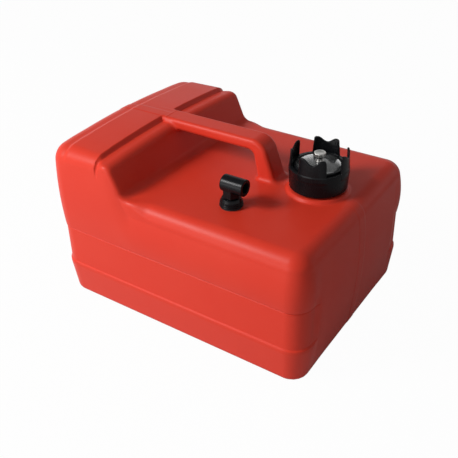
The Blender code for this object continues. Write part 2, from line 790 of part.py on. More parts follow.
def gauge_levels():
    """Heights, above the boss, of the stacked pieces of the cap and gauge.

    Returns:
        A dictionary of heights.
    """
    seal_low = NECK_HEIGHT + GAP
    seal_high = seal_low + SEAL_THICKNESS
    flange_low = seal_high + GAP
    flange_high = flange_low + FLANGE_THICKNESS
    lip_high = flange_high + GAP + COLLAR_LIP_THICKNESS
    cup_high = flange_high + CUP_HEIGHT
    lens_seal_low = cup_high + GAP
    lens_seal_high = lens_seal_low + LENS_SEAL_THICKNESS
    lens_low = lens_seal_high + GAP
    lens_edge = lens_low + LENS_THICKNESS
    dial_low = flange_high + GAP
    return {
        "seal_low": seal_low,
        "seal_high": seal_high,
        "flange_low": flange_low,
        "flange_high": flange_high,
        "lip_low": flange_high + GAP,
        "lip_high": lip_high,
        "bezel_low": lip_high + GAP,
        "cup_high": cup_high,
        "lens_seal_low": lens_seal_low,
        "lens_seal_high": lens_seal_high,
        "lens_low": lens_low,
        "lens_edge": lens_edge,
        "bezel_lip": lens_edge + GAP,
        "lens_top": lens_edge + LENS_RISE,
        "dial_low": dial_low,
        "dial_high": dial_low + DIAL_THICKNESS,
        "pointer_low": dial_low + DIAL_THICKNESS + POINTER_GAP,
        "pointer_high": dial_low + DIAL_THICKNESS + POINTER_GAP + POINTER_THICKNESS,
        "floor_low": -GAUGE_TUBE_DEPTH,
        "floor_high": -GAUGE_TUBE_DEPTH + GAUGE_FLOOR,
        "rod_high": -GAUGE_TUBE_DEPTH + ROD_SEAT,
        "bar_low": WALL + END_BAR_ABOVE_FLOOR - BOSS_TOP,
        "bar_high": WALL + END_BAR_ABOVE_FLOOR + END_BAR_THICKNESS - BOSS_TOP,
    }


def gauge_radii():
    """Radii of the gauge pieces that fit inside the collar.

    Returns:
        A dictionary of radii.
    """
    cup = COLLAR_BORE - GAP - BEZEL_WALL
    tube = NECK_BORE - GAUGE_TUBE_PLAY
    return {
        "flange": COLLAR_BORE - GAP,
        "cup": cup,
        "cup_inner": cup - CUP_WALL,
        "bezel_inner": cup + GAP,
        "bezel": cup + GAP + BEZEL_WALL,
        "bezel_lip": cup - BEZEL_LIP_REACH,
        "tube": tube,
        "tube_inner": tube - GAUGE_TUBE_WALL,
        "lens_hole": VENT_SLEEVE_RADIUS + BEARING_PLAY,
    }


def travel():
    """Height through which the float slides between the end bar and the foot of the strip's spindle."""
    level = gauge_levels()
    spindle_foot = level["floor_low"] - 2 * STRIP_END_GAP
    return spindle_foot - level["bar_high"] - FLOAT_HEIGHT - 2 * GAP


def make_collar(look, axis):
    """Makes the black screw collar with its inner thread, its inward lip and its four finger prongs."""
    level = gauge_levels()
    lip_radius = gauge_radii()["cup"] + GAP
    rim_radius = COLLAR_BASE_RADIUS + COLLAR_FLARE
    rim_inner = COLLAR_BORE + THREAD_PLAY
    rim_low = COLLAR_RIM_HEIGHT - COLLAR_EDGE
    foot = COLLAR_ABOVE_BOSS
    outline = [(COLLAR_BORE, foot), (COLLAR_BASE_RADIUS - COLLAR_EDGE, foot), (COLLAR_BASE_RADIUS, foot + COLLAR_EDGE),
               (rim_radius, rim_low), (rim_radius - COLLAR_EDGE, COLLAR_RIM_HEIGHT),
               (rim_inner + COLLAR_EDGE, COLLAR_RIM_HEIGHT), (rim_inner, rim_low), (rim_inner, level["lip_high"]),
               (lip_radius, level["lip_high"]), (lip_radius, level["lip_low"]), (COLLAR_BORE, level["lip_low"])]
    collar = turned("cap_collar", outline)
    depth = NECK_RADIUS + THREAD_PLAY - COLLAR_BORE
    low = THREAD_START + THREAD_PITCH * (CAP_THREAD_LEAD_TURNS - 1 / 2)
    begin = 2 * math.pi * CAP_THREAD_LEAD_TURNS
    merged(collar, screw_thread("cap_thread", COLLAR_BORE, depth, low, CAP_THREAD_TURNS, begin), "UNION")
    foot_radius = COLLAR_BASE_RADIUS + COLLAR_FLARE * PRONG_LEDGE_HEIGHT / rim_low + PRONG_LEDGE
    for index in range(PRONG_COUNT):
        middle = PRONG_TURN + 2 * math.pi * index / PRONG_COUNT
        merged(collar, prong(middle, foot_radius, rim_radius - PRONG_LEAN), "UNION")
    put(collar, look, axis)


def prong(middle, foot_radius, top_radius):
    """Makes one finger prong, whose top dips between two ears.

    Args:
        middle: angle of its middle about the cap's axis.
        foot_radius: outer radius at its foot.
        top_radius: outer radius at its top.

    Returns:
        The object.
    """
    rings = []
    for step in range(PRONG_STEPS + 1):
        share = 2 * step / PRONG_STEPS - 1
        low_turn = middle + share * PRONG_HALF_ANGLE_FOOT
        high_turn = middle + share * PRONG_HALF_ANGLE_TOP
        height = PRONG_EAR_HEIGHT - PRONG_VALLEY_DROP * (1 - share * share)
        corners = [(foot_radius, PRONG_LEDGE_HEIGHT, low_turn), (top_radius, height, high_turn),
                   (top_radius - PRONG_THICKNESS, height, high_turn),
                   (foot_radius - PRONG_LEDGE - PRONG_THICKNESS, PRONG_LEDGE_HEIGHT, low_turn)]
        rings.append([(radius * math.cos(turn), radius * math.sin(turn), rise) for radius, rise, turn in corners])
    return lofted("prong", rings)


def make_housing(look, axis):
    """Makes the gauge housing: a flange that sits on the neck, a cup for the lens and a tube down the neck."""
    level = gauge_levels()
    size = gauge_radii()
    outline = [(0, level["floor_low"]), (size["tube"], level["floor_low"]), (size["tube"], level["flange_low"]),
               (size["flange"], level["flange_low"]), (size["flange"], level["flange_high"]),
               (size["cup"], level["flange_high"]), (size["cup"], level["cup_high"]),
               (size["cup_inner"], level["cup_high"]), (size["cup_inner"], level["flange_high"]),
               (size["tube_inner"], level["flange_high"]), (size["tube_inner"], level["floor_high"]),
               (0, level["floor_high"])]
    housing = turned("gauge_housing", outline)
    low = level["floor_low"] - GAUGE_FLOOR
    high = level["floor_high"] + GAUGE_FLOOR
    spindle = STRIP_SPINDLE + BEARING_PLAY
    merged(housing, peg("spindle_hole", spindle, low, high, ORIGIN, SMALL_ROUND), "DIFFERENCE")
    for sign in (-1, 1):
        port = (0.0, sign * ROD_OFFSET, 0.0)
        merged(housing, peg("vent_port", VENT_PORT_RADIUS, low, high, port, SMALL_ROUND), "DIFFERENCE")
        seat = (sign * ROD_OFFSET, 0.0, 0.0)
        merged(housing, peg("rod_seat", ROD_RADIUS + GAP, low, level["rod_high"] + GAP, seat, SMALL_ROUND),
               "DIFFERENCE")
    put(housing, look, axis)


def make_lens(look, axis):
    """Makes the domed clear lens with a hole in its middle for the vent."""
    level = gauge_levels()
    size = gauge_radii()
    hole = size["lens_hole"]
    shoulder = size["bezel_lip"] - GAP

    def domed(share):
        """Height of the dome above its edge at a share of the way from the edge to the middle."""
        return LENS_RISE * math.sqrt(1 - (1 - share) ** 2)

    outline = [(hole, level["lens_top"] - LENS_THICKNESS)]
    for step in range(ARC_STEPS + 1):
        share = 1 - step / ARC_STEPS
        outline.append((shoulder + (hole - shoulder) * share, level["lens_edge"] + domed(share)))
    outline += [(size["cup"], level["lens_edge"]), (size["cup"], level["lens_low"])]
    for step in range(ARC_STEPS):
        share = step / ARC_STEPS
        outline.append((size["cup_inner"] + (hole - size["cup_inner"]) * share, level["lens_low"] + domed(share)))
    put(turned("gauge_lens", outline), look, axis)


def make_bezel(look, axis):
    """Makes the ring that snaps over the cup and holds the lens down."""
    level = gauge_levels()
    size = gauge_radii()
    top = level["bezel_lip"] + BEZEL_LIP
    outline = [(size["bezel_inner"], level["bezel_low"]), (size["bezel"], level["bezel_low"]), (size["bezel"], top),
               (size["bezel_lip"], top), (size["bezel_lip"], level["bezel_lip"]),
               (size["bezel_inner"], level["bezel_lip"])]
    put(turned("lens_bezel", outline), look, axis)


def make_pointer(look, axis):
    """Makes the dial pointer, which sits on the top of the strip's spindle."""
    level = gauge_levels()
    low = level["pointer_low"]
    high = level["pointer_high"]
    pointer = peg("gauge_pointer", POINTER_HUB, low, high, ORIGIN, SMALL_ROUND)
    root = POINTER_ROOT_WIDTH / 2
    tip = POINTER_TIP_WIDTH / 2
    reach = gauge_radii()["cup"] - POINTER_END_GAP - CUP_WALL
    outline = [(-POINTER_TAIL, -root), (reach, -tip), (reach, tip), (-POINTER_TAIL, root)]
    rings = [[(x, y, height) for x, y in outline] for height in (low + POINTER_TRIM, high - POINTER_TRIM)]
    merged(pointer, lofted("blade", rings), "UNION")
    merged(pointer, peg("bore", STRIP_SPINDLE + GAP, low - GAP, high + GAP, ORIGIN, SMALL_ROUND), "DIFFERENCE")
    put(pointer, look, axis)


def make_rods(look, bar_look, axis):
    """Makes the two guide rods and the bar that joins their feet."""
    level = gauge_levels()
    low = level["bar_low"]
    high = level["bar_high"]
    reach = ROD_OFFSET + END_BAR_PAST_ROD
    side = END_BAR_WIDTH / 2
    above = high + END_BAR_THICKNESS
    bar = slab("gauge_end_bar", (-reach, -side, low), (reach, side, high))
    for sign, name in ((-1, "gauge_guide_rod_left"), (1, "gauge_guide_rod_right")):
        seat = (sign * ROD_OFFSET, 0.0, 0.0)
        merged(bar, peg("rod_socket", ROD_RADIUS + GAP, low + ROD_SEAT - GAP, above, seat, SMALL_ROUND), "DIFFERENCE")
        put(peg(name, ROD_RADIUS, low + ROD_SEAT, level["rod_high"], seat, TINY_ROUND), look, axis)
    socket = peg("pivot_socket", STRIP_PIVOT + BEARING_PLAY, low + ROD_SEAT, above, ORIGIN, SMALL_ROUND)
    merged(bar, socket, "DIFFERENCE")
    put(bar, bar_look, axis)


def make_strip(look, axis):
    """Makes the twisted strip that the float turns as it rises, with a spindle at its top and a pivot at its foot."""
    level = gauge_levels()
    low = level["bar_high"] + STRIP_END_GAP
    high = level["floor_low"] - STRIP_END_GAP
    twist = STRIP_TWIST_OVER_TRAVEL / travel()
    rest = level["bar_high"] + GAP + FLOAT_HEIGHT
    rings = []
    for step in range(STRIP_STEPS + 1):
        height = low + (high - low) * step / STRIP_STEPS
        turn = -(height - rest) * twist
        ring = []
        for along, across in ((-1, -1), (1, -1), (1, 1), (-1, 1)):
            x = along * STRIP_WIDTH / 2
            y = across * STRIP_THICKNESS / 2
            ring.append((x * math.cos(turn) - y * math.sin(turn), x * math.sin(turn) + y * math.cos(turn), height))
        rings.append(ring)
    strip = lofted("gauge_twist_strip", rings)
    top = level["pointer_high"] + GAP
    merged(strip, peg("spindle", STRIP_SPINDLE, high - STRIP_END_GAP, top, ORIGIN, TINY_ROUND), "UNION")
    foot = level["bar_low"] + ROD_SEAT + GAP
    merged(strip, peg("pivot", STRIP_PIVOT, foot, low + STRIP_END_GAP, ORIGIN, TINY_ROUND), "UNION")
    put(strip, look, axis)


def make_float(look, plate_look, axis):
    """Makes the float and the slotted plate in its top that turns the strip."""
    low = gauge_levels()["bar_high"] + GAP
    high = low + FLOAT_HEIGHT
    inner = FLOAT_RADIUS - FLOAT_EDGE
    recess = high - DRIVE_PLATE_THICKNESS - GAP
    plate_hole = DRIVE_PLATE_RADIUS + GAP
    outline = [(FLOAT_BORE, low), (inner, low), (FLOAT_RADIUS, low + FLOAT_EDGE), (FLOAT_RADIUS, high - FLOAT_EDGE),
               (inner, high), (plate_hole, high), (plate_hole, recess), (FLOAT_BORE, recess)]
    body = turned("gauge_float", outline)
    for sign in (-1, 1):
        seat = (sign * ROD_OFFSET, 0.0, 0.0)
        merged(body, peg("rod_hole", ROD_RADIUS + ROD_PLAY, low - GAP, high + GAP, seat, SMALL_ROUND), "DIFFERENCE")
    put(body, look, axis)
    plate = peg("float_drive_plate", DRIVE_PLATE_RADIUS, recess + GAP, high)
    half_long = STRIP_WIDTH / 2 + SLOT_PLAY
    half_thin = STRIP_THICKNESS / 2 + SLOT_PLAY
    slot = slab("slot", (-half_long, -half_thin, low), (half_long, half_thin, high + FLOAT_EDGE))
    merged(plate, slot, "DIFFERENCE")
    put(plate, plate_look, axis)


def make_vent(looks, axis):
    """Makes the metal vent in the middle of the lens: sleeve, sealing ring and thumb screw."""
    lens_top = gauge_levels()["lens_top"]
    flange_low = lens_top + GAP
    flange_high = flange_low + VENT_SLEEVE_FLANGE_THICKNESS
    top = flange_high + VENT_SLEEVE_RISE
    foot = lens_top - VENT_SLEEVE_DEPTH
    seat = foot + VENT_SEAT_THICKNESS
    sleeve = [(VENT_SEAT_BORE, foot), (VENT_SLEEVE_RADIUS, foot), (VENT_SLEEVE_RADIUS, flange_low),
              (VENT_SLEEVE_FLANGE, flange_low), (VENT_SLEEVE_FLANGE, flange_high), (VENT_SLEEVE_RADIUS, flange_high),
              (VENT_SLEEVE_RADIUS, top), (VENT_SLEEVE_BORE, top), (VENT_SLEEVE_BORE, seat), (VENT_SEAT_BORE, seat)]
    put(turned("vent_sleeve", sleeve, ORIGIN, SMALL_ROUND), looks["steel"], axis)
    shank_radius = VENT_SLEEVE_BORE - BEARING_PLAY
    middle = top + GAP + VENT_RING_RADIUS
    put(o_ring("vent_o_ring", shank_radius + GAP, middle, VENT_RING_RADIUS), looks["rubber"], axis)
    neck_low = middle + VENT_RING_RADIUS + GAP
    neck_high = neck_low + VENT_NECK_LENGTH
    knob_high = neck_high + VENT_KNOB_THICKNESS
    tip = seat + GAP
    shank = [(0, tip), (VENT_SEAT_BORE / 2, tip), (shank_radius, tip + VENT_SEAT_BORE), (shank_radius, neck_low),
             (VENT_NECK_RADIUS, neck_low), (VENT_NECK_RADIUS, neck_high + GAP), (0, neck_high + GAP)]
    screw = turned("vent_screw", shank, ORIGIN, SMALL_ROUND)
    rings = []
    edge = VENT_KNOB_EDGE
    for height, trim in ((neck_high, edge), (neck_high + edge, 0), (knob_high - edge, 0), (knob_high, edge)):
        ring = []
        for step in range(2 * VENT_KNOB_FLUTES):
            turn = math.pi * step / VENT_KNOB_FLUTES
            radius = VENT_KNOB_RADIUS - trim - VENT_KNOB_FLUTE_DEPTH * (step % 2)
            ring.append((radius * math.cos(turn), radius * math.sin(turn), height))
        rings.append(ring)
    merged(screw, lofted("knob", rings), "UNION")
    put(screw, looks["bright"], axis)


def make_cap(looks):
    """Makes the screw cap and the sight gauge that hangs from it, all about one upright axis."""
    axis = anchor("cap_axis", CAP_PLACE)
    level = gauge_levels()
    size = gauge_radii()
    make_collar(looks["black"], axis)
    seal = flat_ring("cap_gasket", NECK_BORE + GAP, NECK_RADIUS, level["seal_low"], level["seal_high"])
    put(seal, looks["rubber"], axis)
    make_housing(looks["black"], axis)
    lens_seal = flat_ring("lens_gasket", size["cup_inner"], size["cup"], level["lens_seal_low"],
                          level["lens_seal_high"])
    put(lens_seal, looks["rubber"], axis)
    make_lens(looks["clear"], axis)
    make_bezel(looks["black"], axis)
    dial = flat_ring("gauge_dial", DIAL_HOLE, size["cup_inner"] - GAP, level["dial_low"], level["dial_high"])
    put(dial, looks["dial"], axis)
    make_pointer(looks["orange"], axis)
    make_vent(looks, axis)
    make_rods(looks["steel"], looks["black"], axis)
    make_strip(looks["steel"], axis)
    make_float(looks["foam"], looks["steel"], axis)


def pickup_levels():
    """Heights, above the deck, of the stacked pieces of the pickup fitting.

    Returns:
        A dictionary of heights.
    """
    seal_high = GAP + PICKUP_SEAL_THICKNESS
    nut_low = seal_high + GAP
    nut_high = nut_low + NUT_HEIGHT
    stem_foot = nut_high - STEM_LENGTH
    groove_low = stem_foot + STEM_GROOVE_ABOVE_END
    clip_low = stem_foot + CLIP_GROOVE_ABOVE_END
    return {
        "seal_high": seal_high,
        "nut_low": nut_low,
        "nut_high": nut_high,
        "stem_foot": stem_foot,
        "groove_low": groove_low,
        "groove_high": groove_low + STEM_GROOVE_WIDTH,
        "clip_low": clip_low,
        "clip_high": clip_low + CLIP_GROOVE_WIDTH,
        "neck_low": nut_high + GAP,
        "tube_low": WALL + TUBE_ABOVE_FLOOR - DECK_HEIGHT,
    }


def make_nut(look, axis):
    """Makes the ribbed nut that holds the pickup in the deck and carries the swivelling elbow."""
    level = pickup_levels()
    bore = STEM_RADIUS + GAP
    clip_radius = STEM_RADIUS + CLIP_NUT_DEPTH
    outline = [(TUBE_BORE, -GAP), (TUBE_RADIUS + GAP, -GAP), (TUBE_RADIUS + GAP, -NUT_SPIGOT_DEPTH),
               (NUT_SPIGOT_RADIUS, -NUT_SPIGOT_DEPTH), (NUT_SPIGOT_RADIUS, level["nut_low"]),
               (NUT_RADIUS, level["nut_low"])]
    part = NUT_HEIGHT * NUT_RIBBED_SHARE / NUT_RIB_COUNT
    taper = (NUT_RADIUS - NUT_TOP_RADIUS) * NUT_RIB_TAPER_SHARE / NUT_RIB_COUNT
    for rib in range(NUT_RIB_COUNT):
        start = level["nut_low"] + part * rib
        reach = NUT_RADIUS - taper * rib
        outline.append((reach, start + part * NUT_RIB_CREST_SHARE))
        outline.append((reach - NUT_RIB_DEPTH, start + part * NUT_RIB_FLANK_SHARE))
        outline.append((reach - NUT_RIB_DEPTH, start + part))
    outline += [(NUT_TOP_RADIUS, level["nut_high"]), (bore, level["nut_high"]), (bore, level["clip_high"] + GAP),
                (clip_radius, level["clip_high"] + GAP), (clip_radius, level["clip_low"] - GAP),
                (bore, level["clip_low"] - GAP), (bore, level["stem_foot"] - GAP),
                (TUBE_BORE, level["stem_foot"] - GAP)]
    put(turned("pickup_nut", outline), look, axis)


def lying_drum(name, spans):
    """Makes a round solid along X at the height of the elbow's port, from (place along X, radius) pairs."""
    rings = []
    for along, radius in spans:
        ring = []
        for step in range(ROUND):
            turn = 2 * math.pi * step / ROUND
            ring.append((along, radius * math.cos(turn), ELBOW_AXIS_HEIGHT + radius * math.sin(turn)))
        rings.append(ring)
    return lofted(name, rings)


def make_elbow(look, axis):
    """Makes the hose elbow: a stem that swivels in the nut, a six-sided neck and a barrel with the hose port."""
    level = pickup_levels()
    groove_radius = STEM_RADIUS - STEM_GROOVE_DEPTH
    clip_radius = STEM_RADIUS - CLIP_STEM_DEPTH
    shoulder = level["neck_low"] + ELBOW_EDGE
    stem = [(TUBE_BORE, level["stem_foot"]), (STEM_RADIUS, level["stem_foot"]), (STEM_RADIUS, level["groove_low"]),
            (groove_radius, level["groove_low"]), (groove_radius, level["groove_high"]),
            (STEM_RADIUS, level["groove_high"]), (STEM_RADIUS, level["clip_low"] - GAP),
            (clip_radius, level["clip_low"] - GAP), (clip_radius, level["clip_high"] + GAP),
            (STEM_RADIUS, level["clip_high"] + GAP), (STEM_RADIUS, shoulder), (TUBE_BORE, shoulder)]
    elbow = turned("pickup_elbow", stem, ORIGIN, SMALL_ROUND)
    hex_radius = ELBOW_HEX_WIDTH / 2 / math.cos(math.pi / 6)
    hex_outline = [(0, level["neck_low"]), (hex_radius, level["neck_low"]), (hex_radius, ELBOW_AXIS_HEIGHT),
                   (0, ELBOW_AXIS_HEIGHT)]
    merged(elbow, turned("hex_neck", hex_outline, ORIGIN, 6), "UNION")
    spans = [(-ELBOW_BACK, ELBOW_RADIUS - ELBOW_EDGE), (-ELBOW_BACK + ELBOW_EDGE, ELBOW_RADIUS),
             (ELBOW_REACH - ELBOW_EDGE / 2, ELBOW_RADIUS), (ELBOW_REACH, ELBOW_RADIUS - ELBOW_EDGE / 2)]
    merged(elbow, lying_drum("barrel", spans), "UNION")
    port = lying_drum("port_bore", [(-ELBOW_BORE_PAST_AXIS, ELBOW_BORE), (ELBOW_REACH + ELBOW_EDGE, ELBOW_BORE)])
    merged(elbow, port, "DIFFERENCE")
    riser = peg("riser", TUBE_BORE, level["stem_foot"] - GAP, ELBOW_AXIS_HEIGHT, ORIGIN, SMALL_ROUND)
    merged(elbow, riser, "DIFFERENCE")
    put(elbow, look, axis)


def make_clip(look, axis):
    """Makes the open spring ring that keeps the elbow in the nut."""
    level = pickup_levels()
    inner = STEM_RADIUS - CLIP_STEM_DEPTH + GAP
    outer = STEM_RADIUS + CLIP_NUT_DEPTH - GAP
    sweep = 2 * math.pi - CLIP_OPENING
    corners = ((inner, level["clip_low"]), (outer, level["clip_low"]), (outer, level["clip_high"]),
               (inner, level["clip_high"]))
    rings = []
    for step in range(SMALL_ROUND + 1):
        turn = CLIP_OPENING / 2 + sweep * step / SMALL_ROUND
        rings.append([(radius * math.cos(turn), radius * math.sin(turn), height) for radius, height in corners])
    put(lofted("elbow_retaining_clip", rings), look, axis)


def make_strainer(look, axis):
    """Makes the slotted strainer on the foot of the dip tube."""
    low = WALL + STRAINER_ABOVE_FLOOR - DECK_HEIGHT
    high = low + STRAINER_LENGTH
    seat = pickup_levels()["tube_low"] - GAP
    grip = TUBE_RADIUS + GAP
    inner = STRAINER_RADIUS - STRAINER_WALL
    cage = [(0, low), (STRAINER_RADIUS, low), (STRAINER_RADIUS, high), (grip, high), (grip, seat), (inner, seat),
            (inner, low + STRAINER_WALL), (0, low + STRAINER_WALL)]
    strainer = turned("pickup_strainer", cage, ORIGIN, SMALL_ROUND)
    reach = STRAINER_RADIUS + GAP
    side = STRAINER_SLOT_WIDTH / 2
    for index in range(STRAINER_SLOT_PAIRS):
        cutter = slab("slot", (-reach, -side, low + STRAINER_WALL), (reach, side, seat - STRAINER_WALL))
        cutter.data.transform(Matrix.Rotation(math.pi * index / STRAINER_SLOT_PAIRS, 4, "Z"))
        merged(strainer, cutter, "DIFFERENCE")
    put(strainer, look, axis)


def make_pickup(looks):
    """Makes the fuel pickup: seal, screwed nut, swivelling elbow with its ring and clip, dip tube and strainer."""
    axis = anchor("pickup_axis", PICKUP_PLACE)
    level = pickup_levels()
    seal = flat_ring("pickup_gasket", PICKUP_HOLE + GAP, NUT_RADIUS - PICKUP_SEAL_MARGIN, GAP, level["seal_high"])
    put(seal, looks["rubber"], axis)
    make_nut(looks["black"], axis)
    make_elbow(looks["black"], axis)
    middle = (level["groove_low"] + level["groove_high"]) / 2
    ring = o_ring("elbow_o_ring", STEM_RADIUS - STEM_GROOVE_DEPTH + GAP, middle, STEM_RING_RADIUS)
    put(ring, looks["rubber"], axis)
    make_clip(looks["steel"], axis)
    tube = flat_ring("pickup_tube", TUBE_BORE, TUBE_RADIUS, level["tube_low"], -2 * GAP, SMALL_ROUND)
    put(tube, looks["tube"], axis)
    make_strainer(looks["tube"], axis)


def main():
    """Builds every piece of the fuel tank."""
    clear_scene()
    looks = {
        "red": finish("red polyethylene", (0.62, 0.040, 0.018), 0.42),
        "black": finish("black nylon", (0.012, 0.012, 0.014), 0.38),
        "rubber": finish("nitrile rubber", (0.015, 0.015, 0.015), 0.75),
        "clear": finish("clear acrylic", (0.85, 0.88, 0.88), 0.08, 0.0, 0.9),
        "dial": finish("pale dial", (0.62, 0.62, 0.58), 0.5),
        "orange": finish("orange pointer", (0.75, 0.12, 0.02), 0.5),
        "steel": finish("stainless steel", (0.55, 0.55, 0.55), 0.3, 1.0),
        "bright": finish("plated brass", (0.72, 0.71, 0.68), 0.22, 1.0),
        "foam": finish("nitrile foam", (0.03, 0.03, 0.03), 0.9),
        "tube": finish("natural nylon", (0.70, 0.68, 0.60), 0.45),
    }
    make_tank(looks["red"])
    make_cap(looks)
    make_pickup(looks)


main()
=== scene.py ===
"""Looks of a portable fuel tank for an outboard motor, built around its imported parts.

The tank stands over the origin on its bottom face. Its length runs along X with the filler cap at +X, its front with
the hose elbow faces -Y, and every length is in metres. The class fields are the sizes, and heights in the classes that
have a centre are measured from it.
"""
import logging
import math
from dataclasses import dataclass
from enum import Enum
from typing import Callable, NamedTuple, Optional, Sequence, Union

import bpy
import numpy as np
from mathutils import Matrix, Vector


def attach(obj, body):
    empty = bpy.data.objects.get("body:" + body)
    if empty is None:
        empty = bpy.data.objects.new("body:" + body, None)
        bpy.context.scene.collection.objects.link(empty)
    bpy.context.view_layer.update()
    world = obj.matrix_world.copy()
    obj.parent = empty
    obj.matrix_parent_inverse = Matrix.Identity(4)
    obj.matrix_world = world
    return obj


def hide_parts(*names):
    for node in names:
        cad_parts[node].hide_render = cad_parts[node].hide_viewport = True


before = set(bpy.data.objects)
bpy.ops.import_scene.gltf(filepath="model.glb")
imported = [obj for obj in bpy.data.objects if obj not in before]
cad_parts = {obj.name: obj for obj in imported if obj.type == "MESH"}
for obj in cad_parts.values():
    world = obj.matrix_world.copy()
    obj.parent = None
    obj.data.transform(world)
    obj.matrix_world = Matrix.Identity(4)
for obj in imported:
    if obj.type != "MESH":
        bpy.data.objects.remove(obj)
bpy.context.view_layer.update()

LOG = logging.getLogger("fuel_tank")
Array = np.ndarray
Pair = tuple[float, float]
Triple = tuple[float, float, float]
Colour = Triple
Outline = Sequence[Pair]
WHITE = (1.0, 1.0, 1.0)
TINY = 1e-12


class Body(Enum):
    """Bodies of the frame that the pieces ride on."""

    TANK = "tank"
    ELBOW = "elbow"
    GAUGE = "gauge"
    COLLAR = "collar"
    VENT = "vent"


class Slot(Enum):
    """Material slots of the record."""

    RED = "red_polyethylene"
    BLACK = "black_nylon"
    RUBBER = "nitrile_rubber"
    CLEAR = "clear_acrylic"
    DIAL = "pale_dial"
    POINTER = "orange_pointer"
    STEEL = "stainless_steel"
    BRIGHT = "plated_brass"
    FOAM = "nitrile_foam"
    NATURAL = "natural_nylon"


# shader maths


class Noise(NamedTuple):
    """A cloudy noise: its waves to the metre, its levels of detail and how much each finer level counts."""

    scale: float
    detail: float = 2.0
    rough: float = 0.5


class Fade(NamedTuple):
    """Share that comes in while a pattern rises from low to high."""

    low: float
    high: float
    share: float


class Shade:
    """A node's output that takes part in sums, each of which adds a Math node."""

    def __init__(self, graph: "Graph", socket: bpy.types.NodeSocket) -> None:
        """Keeps the output and the node tree that it belongs to."""
        self.graph = graph
        self.socket = socket

    def _sum(self, operation: str, *values: Union["Shade", float]) -> "Shade":
        """Adds one Math node and returns its result."""
        return self.graph.node("ShaderNodeMath", {"operation": operation}, dict(enumerate(values)))

    def __add__(self, other: Union["Shade", float]) -> "Shade":
        """Adds."""
        return self._sum("ADD", self, other)

    def __sub__(self, other: Union["Shade", float]) -> "Shade":
        """Subtracts."""
        return self._sum("SUBTRACT", self, other)

    def __rsub__(self, other: float) -> "Shade":
        """Subtracts this from a number."""
        return self._sum("SUBTRACT", other, self)

    def __mul__(self, other: Union["Shade", float]) -> "Shade":
        """Multiplies."""
        return self._sum("MULTIPLY", self, other)

    __radd__ = __add__
    __rmul__ = __mul__

    def clipped(self) -> "Shade":
        """Holds the value between zero and one."""
        return self.graph.node("ShaderNodeClamp", {}, {"Value": self})

    def ramp(self, low: float, high: float) -> "Shade":
        """Rises smoothly from zero at low to one at high."""
        return self.graph.node("ShaderNodeMapRange", {"interpolation_type": "SMOOTHSTEP"},
                               {"Value": self, "From Min": low, "From Max": high})

    def faded(self, fade: Fade) -> "Shade":
        """Returns how much of a fade comes in at this value."""
        return self.ramp(fade.low, fade.high) * fade.share

    def between(self, rise: Pair, fall: Pair) -> "Shade":
        """Rises from zero to one over one stretch and falls back over another."""
        return self.ramp(*rise) * (1 - self.ramp(*fall))

    def around(self, spread: float) -> "Shade":
        """Swings to both sides of zero, by the spread in all, while this goes from zero to one."""
        return (self - 0.5) * spread


class Graph:
    """Node tree that takes nodes and values."""

    def __init__(self, tree: bpy.types.NodeTree) -> None:
        """Keeps the tree."""
        self.tree = tree

    def node(self, kind: str, settings: Optional[dict] = None, sockets: Optional[dict] = None,
             output: Union[int, str] = 0) -> Shade:
        """Adds one node.

        Args:
            kind: type of the node.
            settings: what is set on the node before its sockets.
            sockets: value or link of each named or numbered input.
            output: name or number of the output that is returned.

        Returns:
            The output.
        """
        made = self.tree.nodes.new(kind)
        for name, value in (settings or {}).items():
            setattr(made, name, value)
        for name, value in (sockets or {}).items():
            self.feed(made, name, value)
        return Shade(self, made.outputs[output])

    def feed(self, node: bpy.types.Node, name: Union[int, str], value: object) -> None:
        """Gives one input of a node its value or its link.

        Args:
            node: the node.
            name: name or number of the input.
            value: a shade to link, or a value; a colour has three parts.
        """
        if isinstance(value, Shade):
            self.tree.links.new(value.socket, node.inputs[name])
        elif isinstance(value, tuple) and len(value) == 3 and node.inputs[name].type == "RGBA":
            node.inputs[name].default_value = (*value, 1.0)
        else:
            node.inputs[name].default_value = value

    def place(self) -> Shade:
        """Returns the place on the piece, in metres."""
        return self.node("ShaderNodeTexCoord", {}, {}, "Object")

    def noise(self, place: Shade, noise: Noise) -> Shade:
        """Returns cloudy noise from zero to one."""
        return self.node("ShaderNodeTexNoise", {}, {"Vector": place, "Scale": noise.scale, "Detail": noise.detail,
                                                    "Roughness": noise.rough})

    def cells(self, place: Shade, scale: float) -> Shade:
        """Returns the distance to the nearest of scattered points."""
        return self.node("ShaderNodeTexVoronoi", {}, {"Vector": place, "Scale": scale})

    def scaled(self, place: Shade, factors: Triple) -> Shade:
        """Returns the place stretched along each axis."""
        return self.node("ShaderNodeVectorMath", {"operation": "MULTIPLY"}, {0: place, 1: factors})

    def mixed(self, share: Union[Shade, float], first: Union[Shade, Colour], second: Union[Shade, Colour]) -> Shade:
        """Returns a colour between two others."""
        return self.node("ShaderNodeMix", {"data_type": "RGBA"}, {0: share, 6: first, 7: second}, 2)

    def blend(self, share: Union[Shade, float], first: Shade, second: Shade) -> Shade:
        """Returns a shader between two others."""
        return self.node("ShaderNodeMixShader", {}, {0: share, 1: first, 2: second})

    def bumped(self, height: Shade, depth: float, over: Optional[Shade] = None) -> Shade:
        """Returns the normal of a surface raised by height times depth, on top of another normal if there is one."""
        under = {} if over is None else {"Normal": over}
        return self.node("ShaderNodeBump", {}, {"Height": height, "Strength": 1.0, "Distance": depth, **under})

    def part(self, made: Shade, output: Union[int, str]) -> Shade:
        """Returns another output of the node that a shade comes from."""
        return Shade(self, made.socket.node.outputs[output])


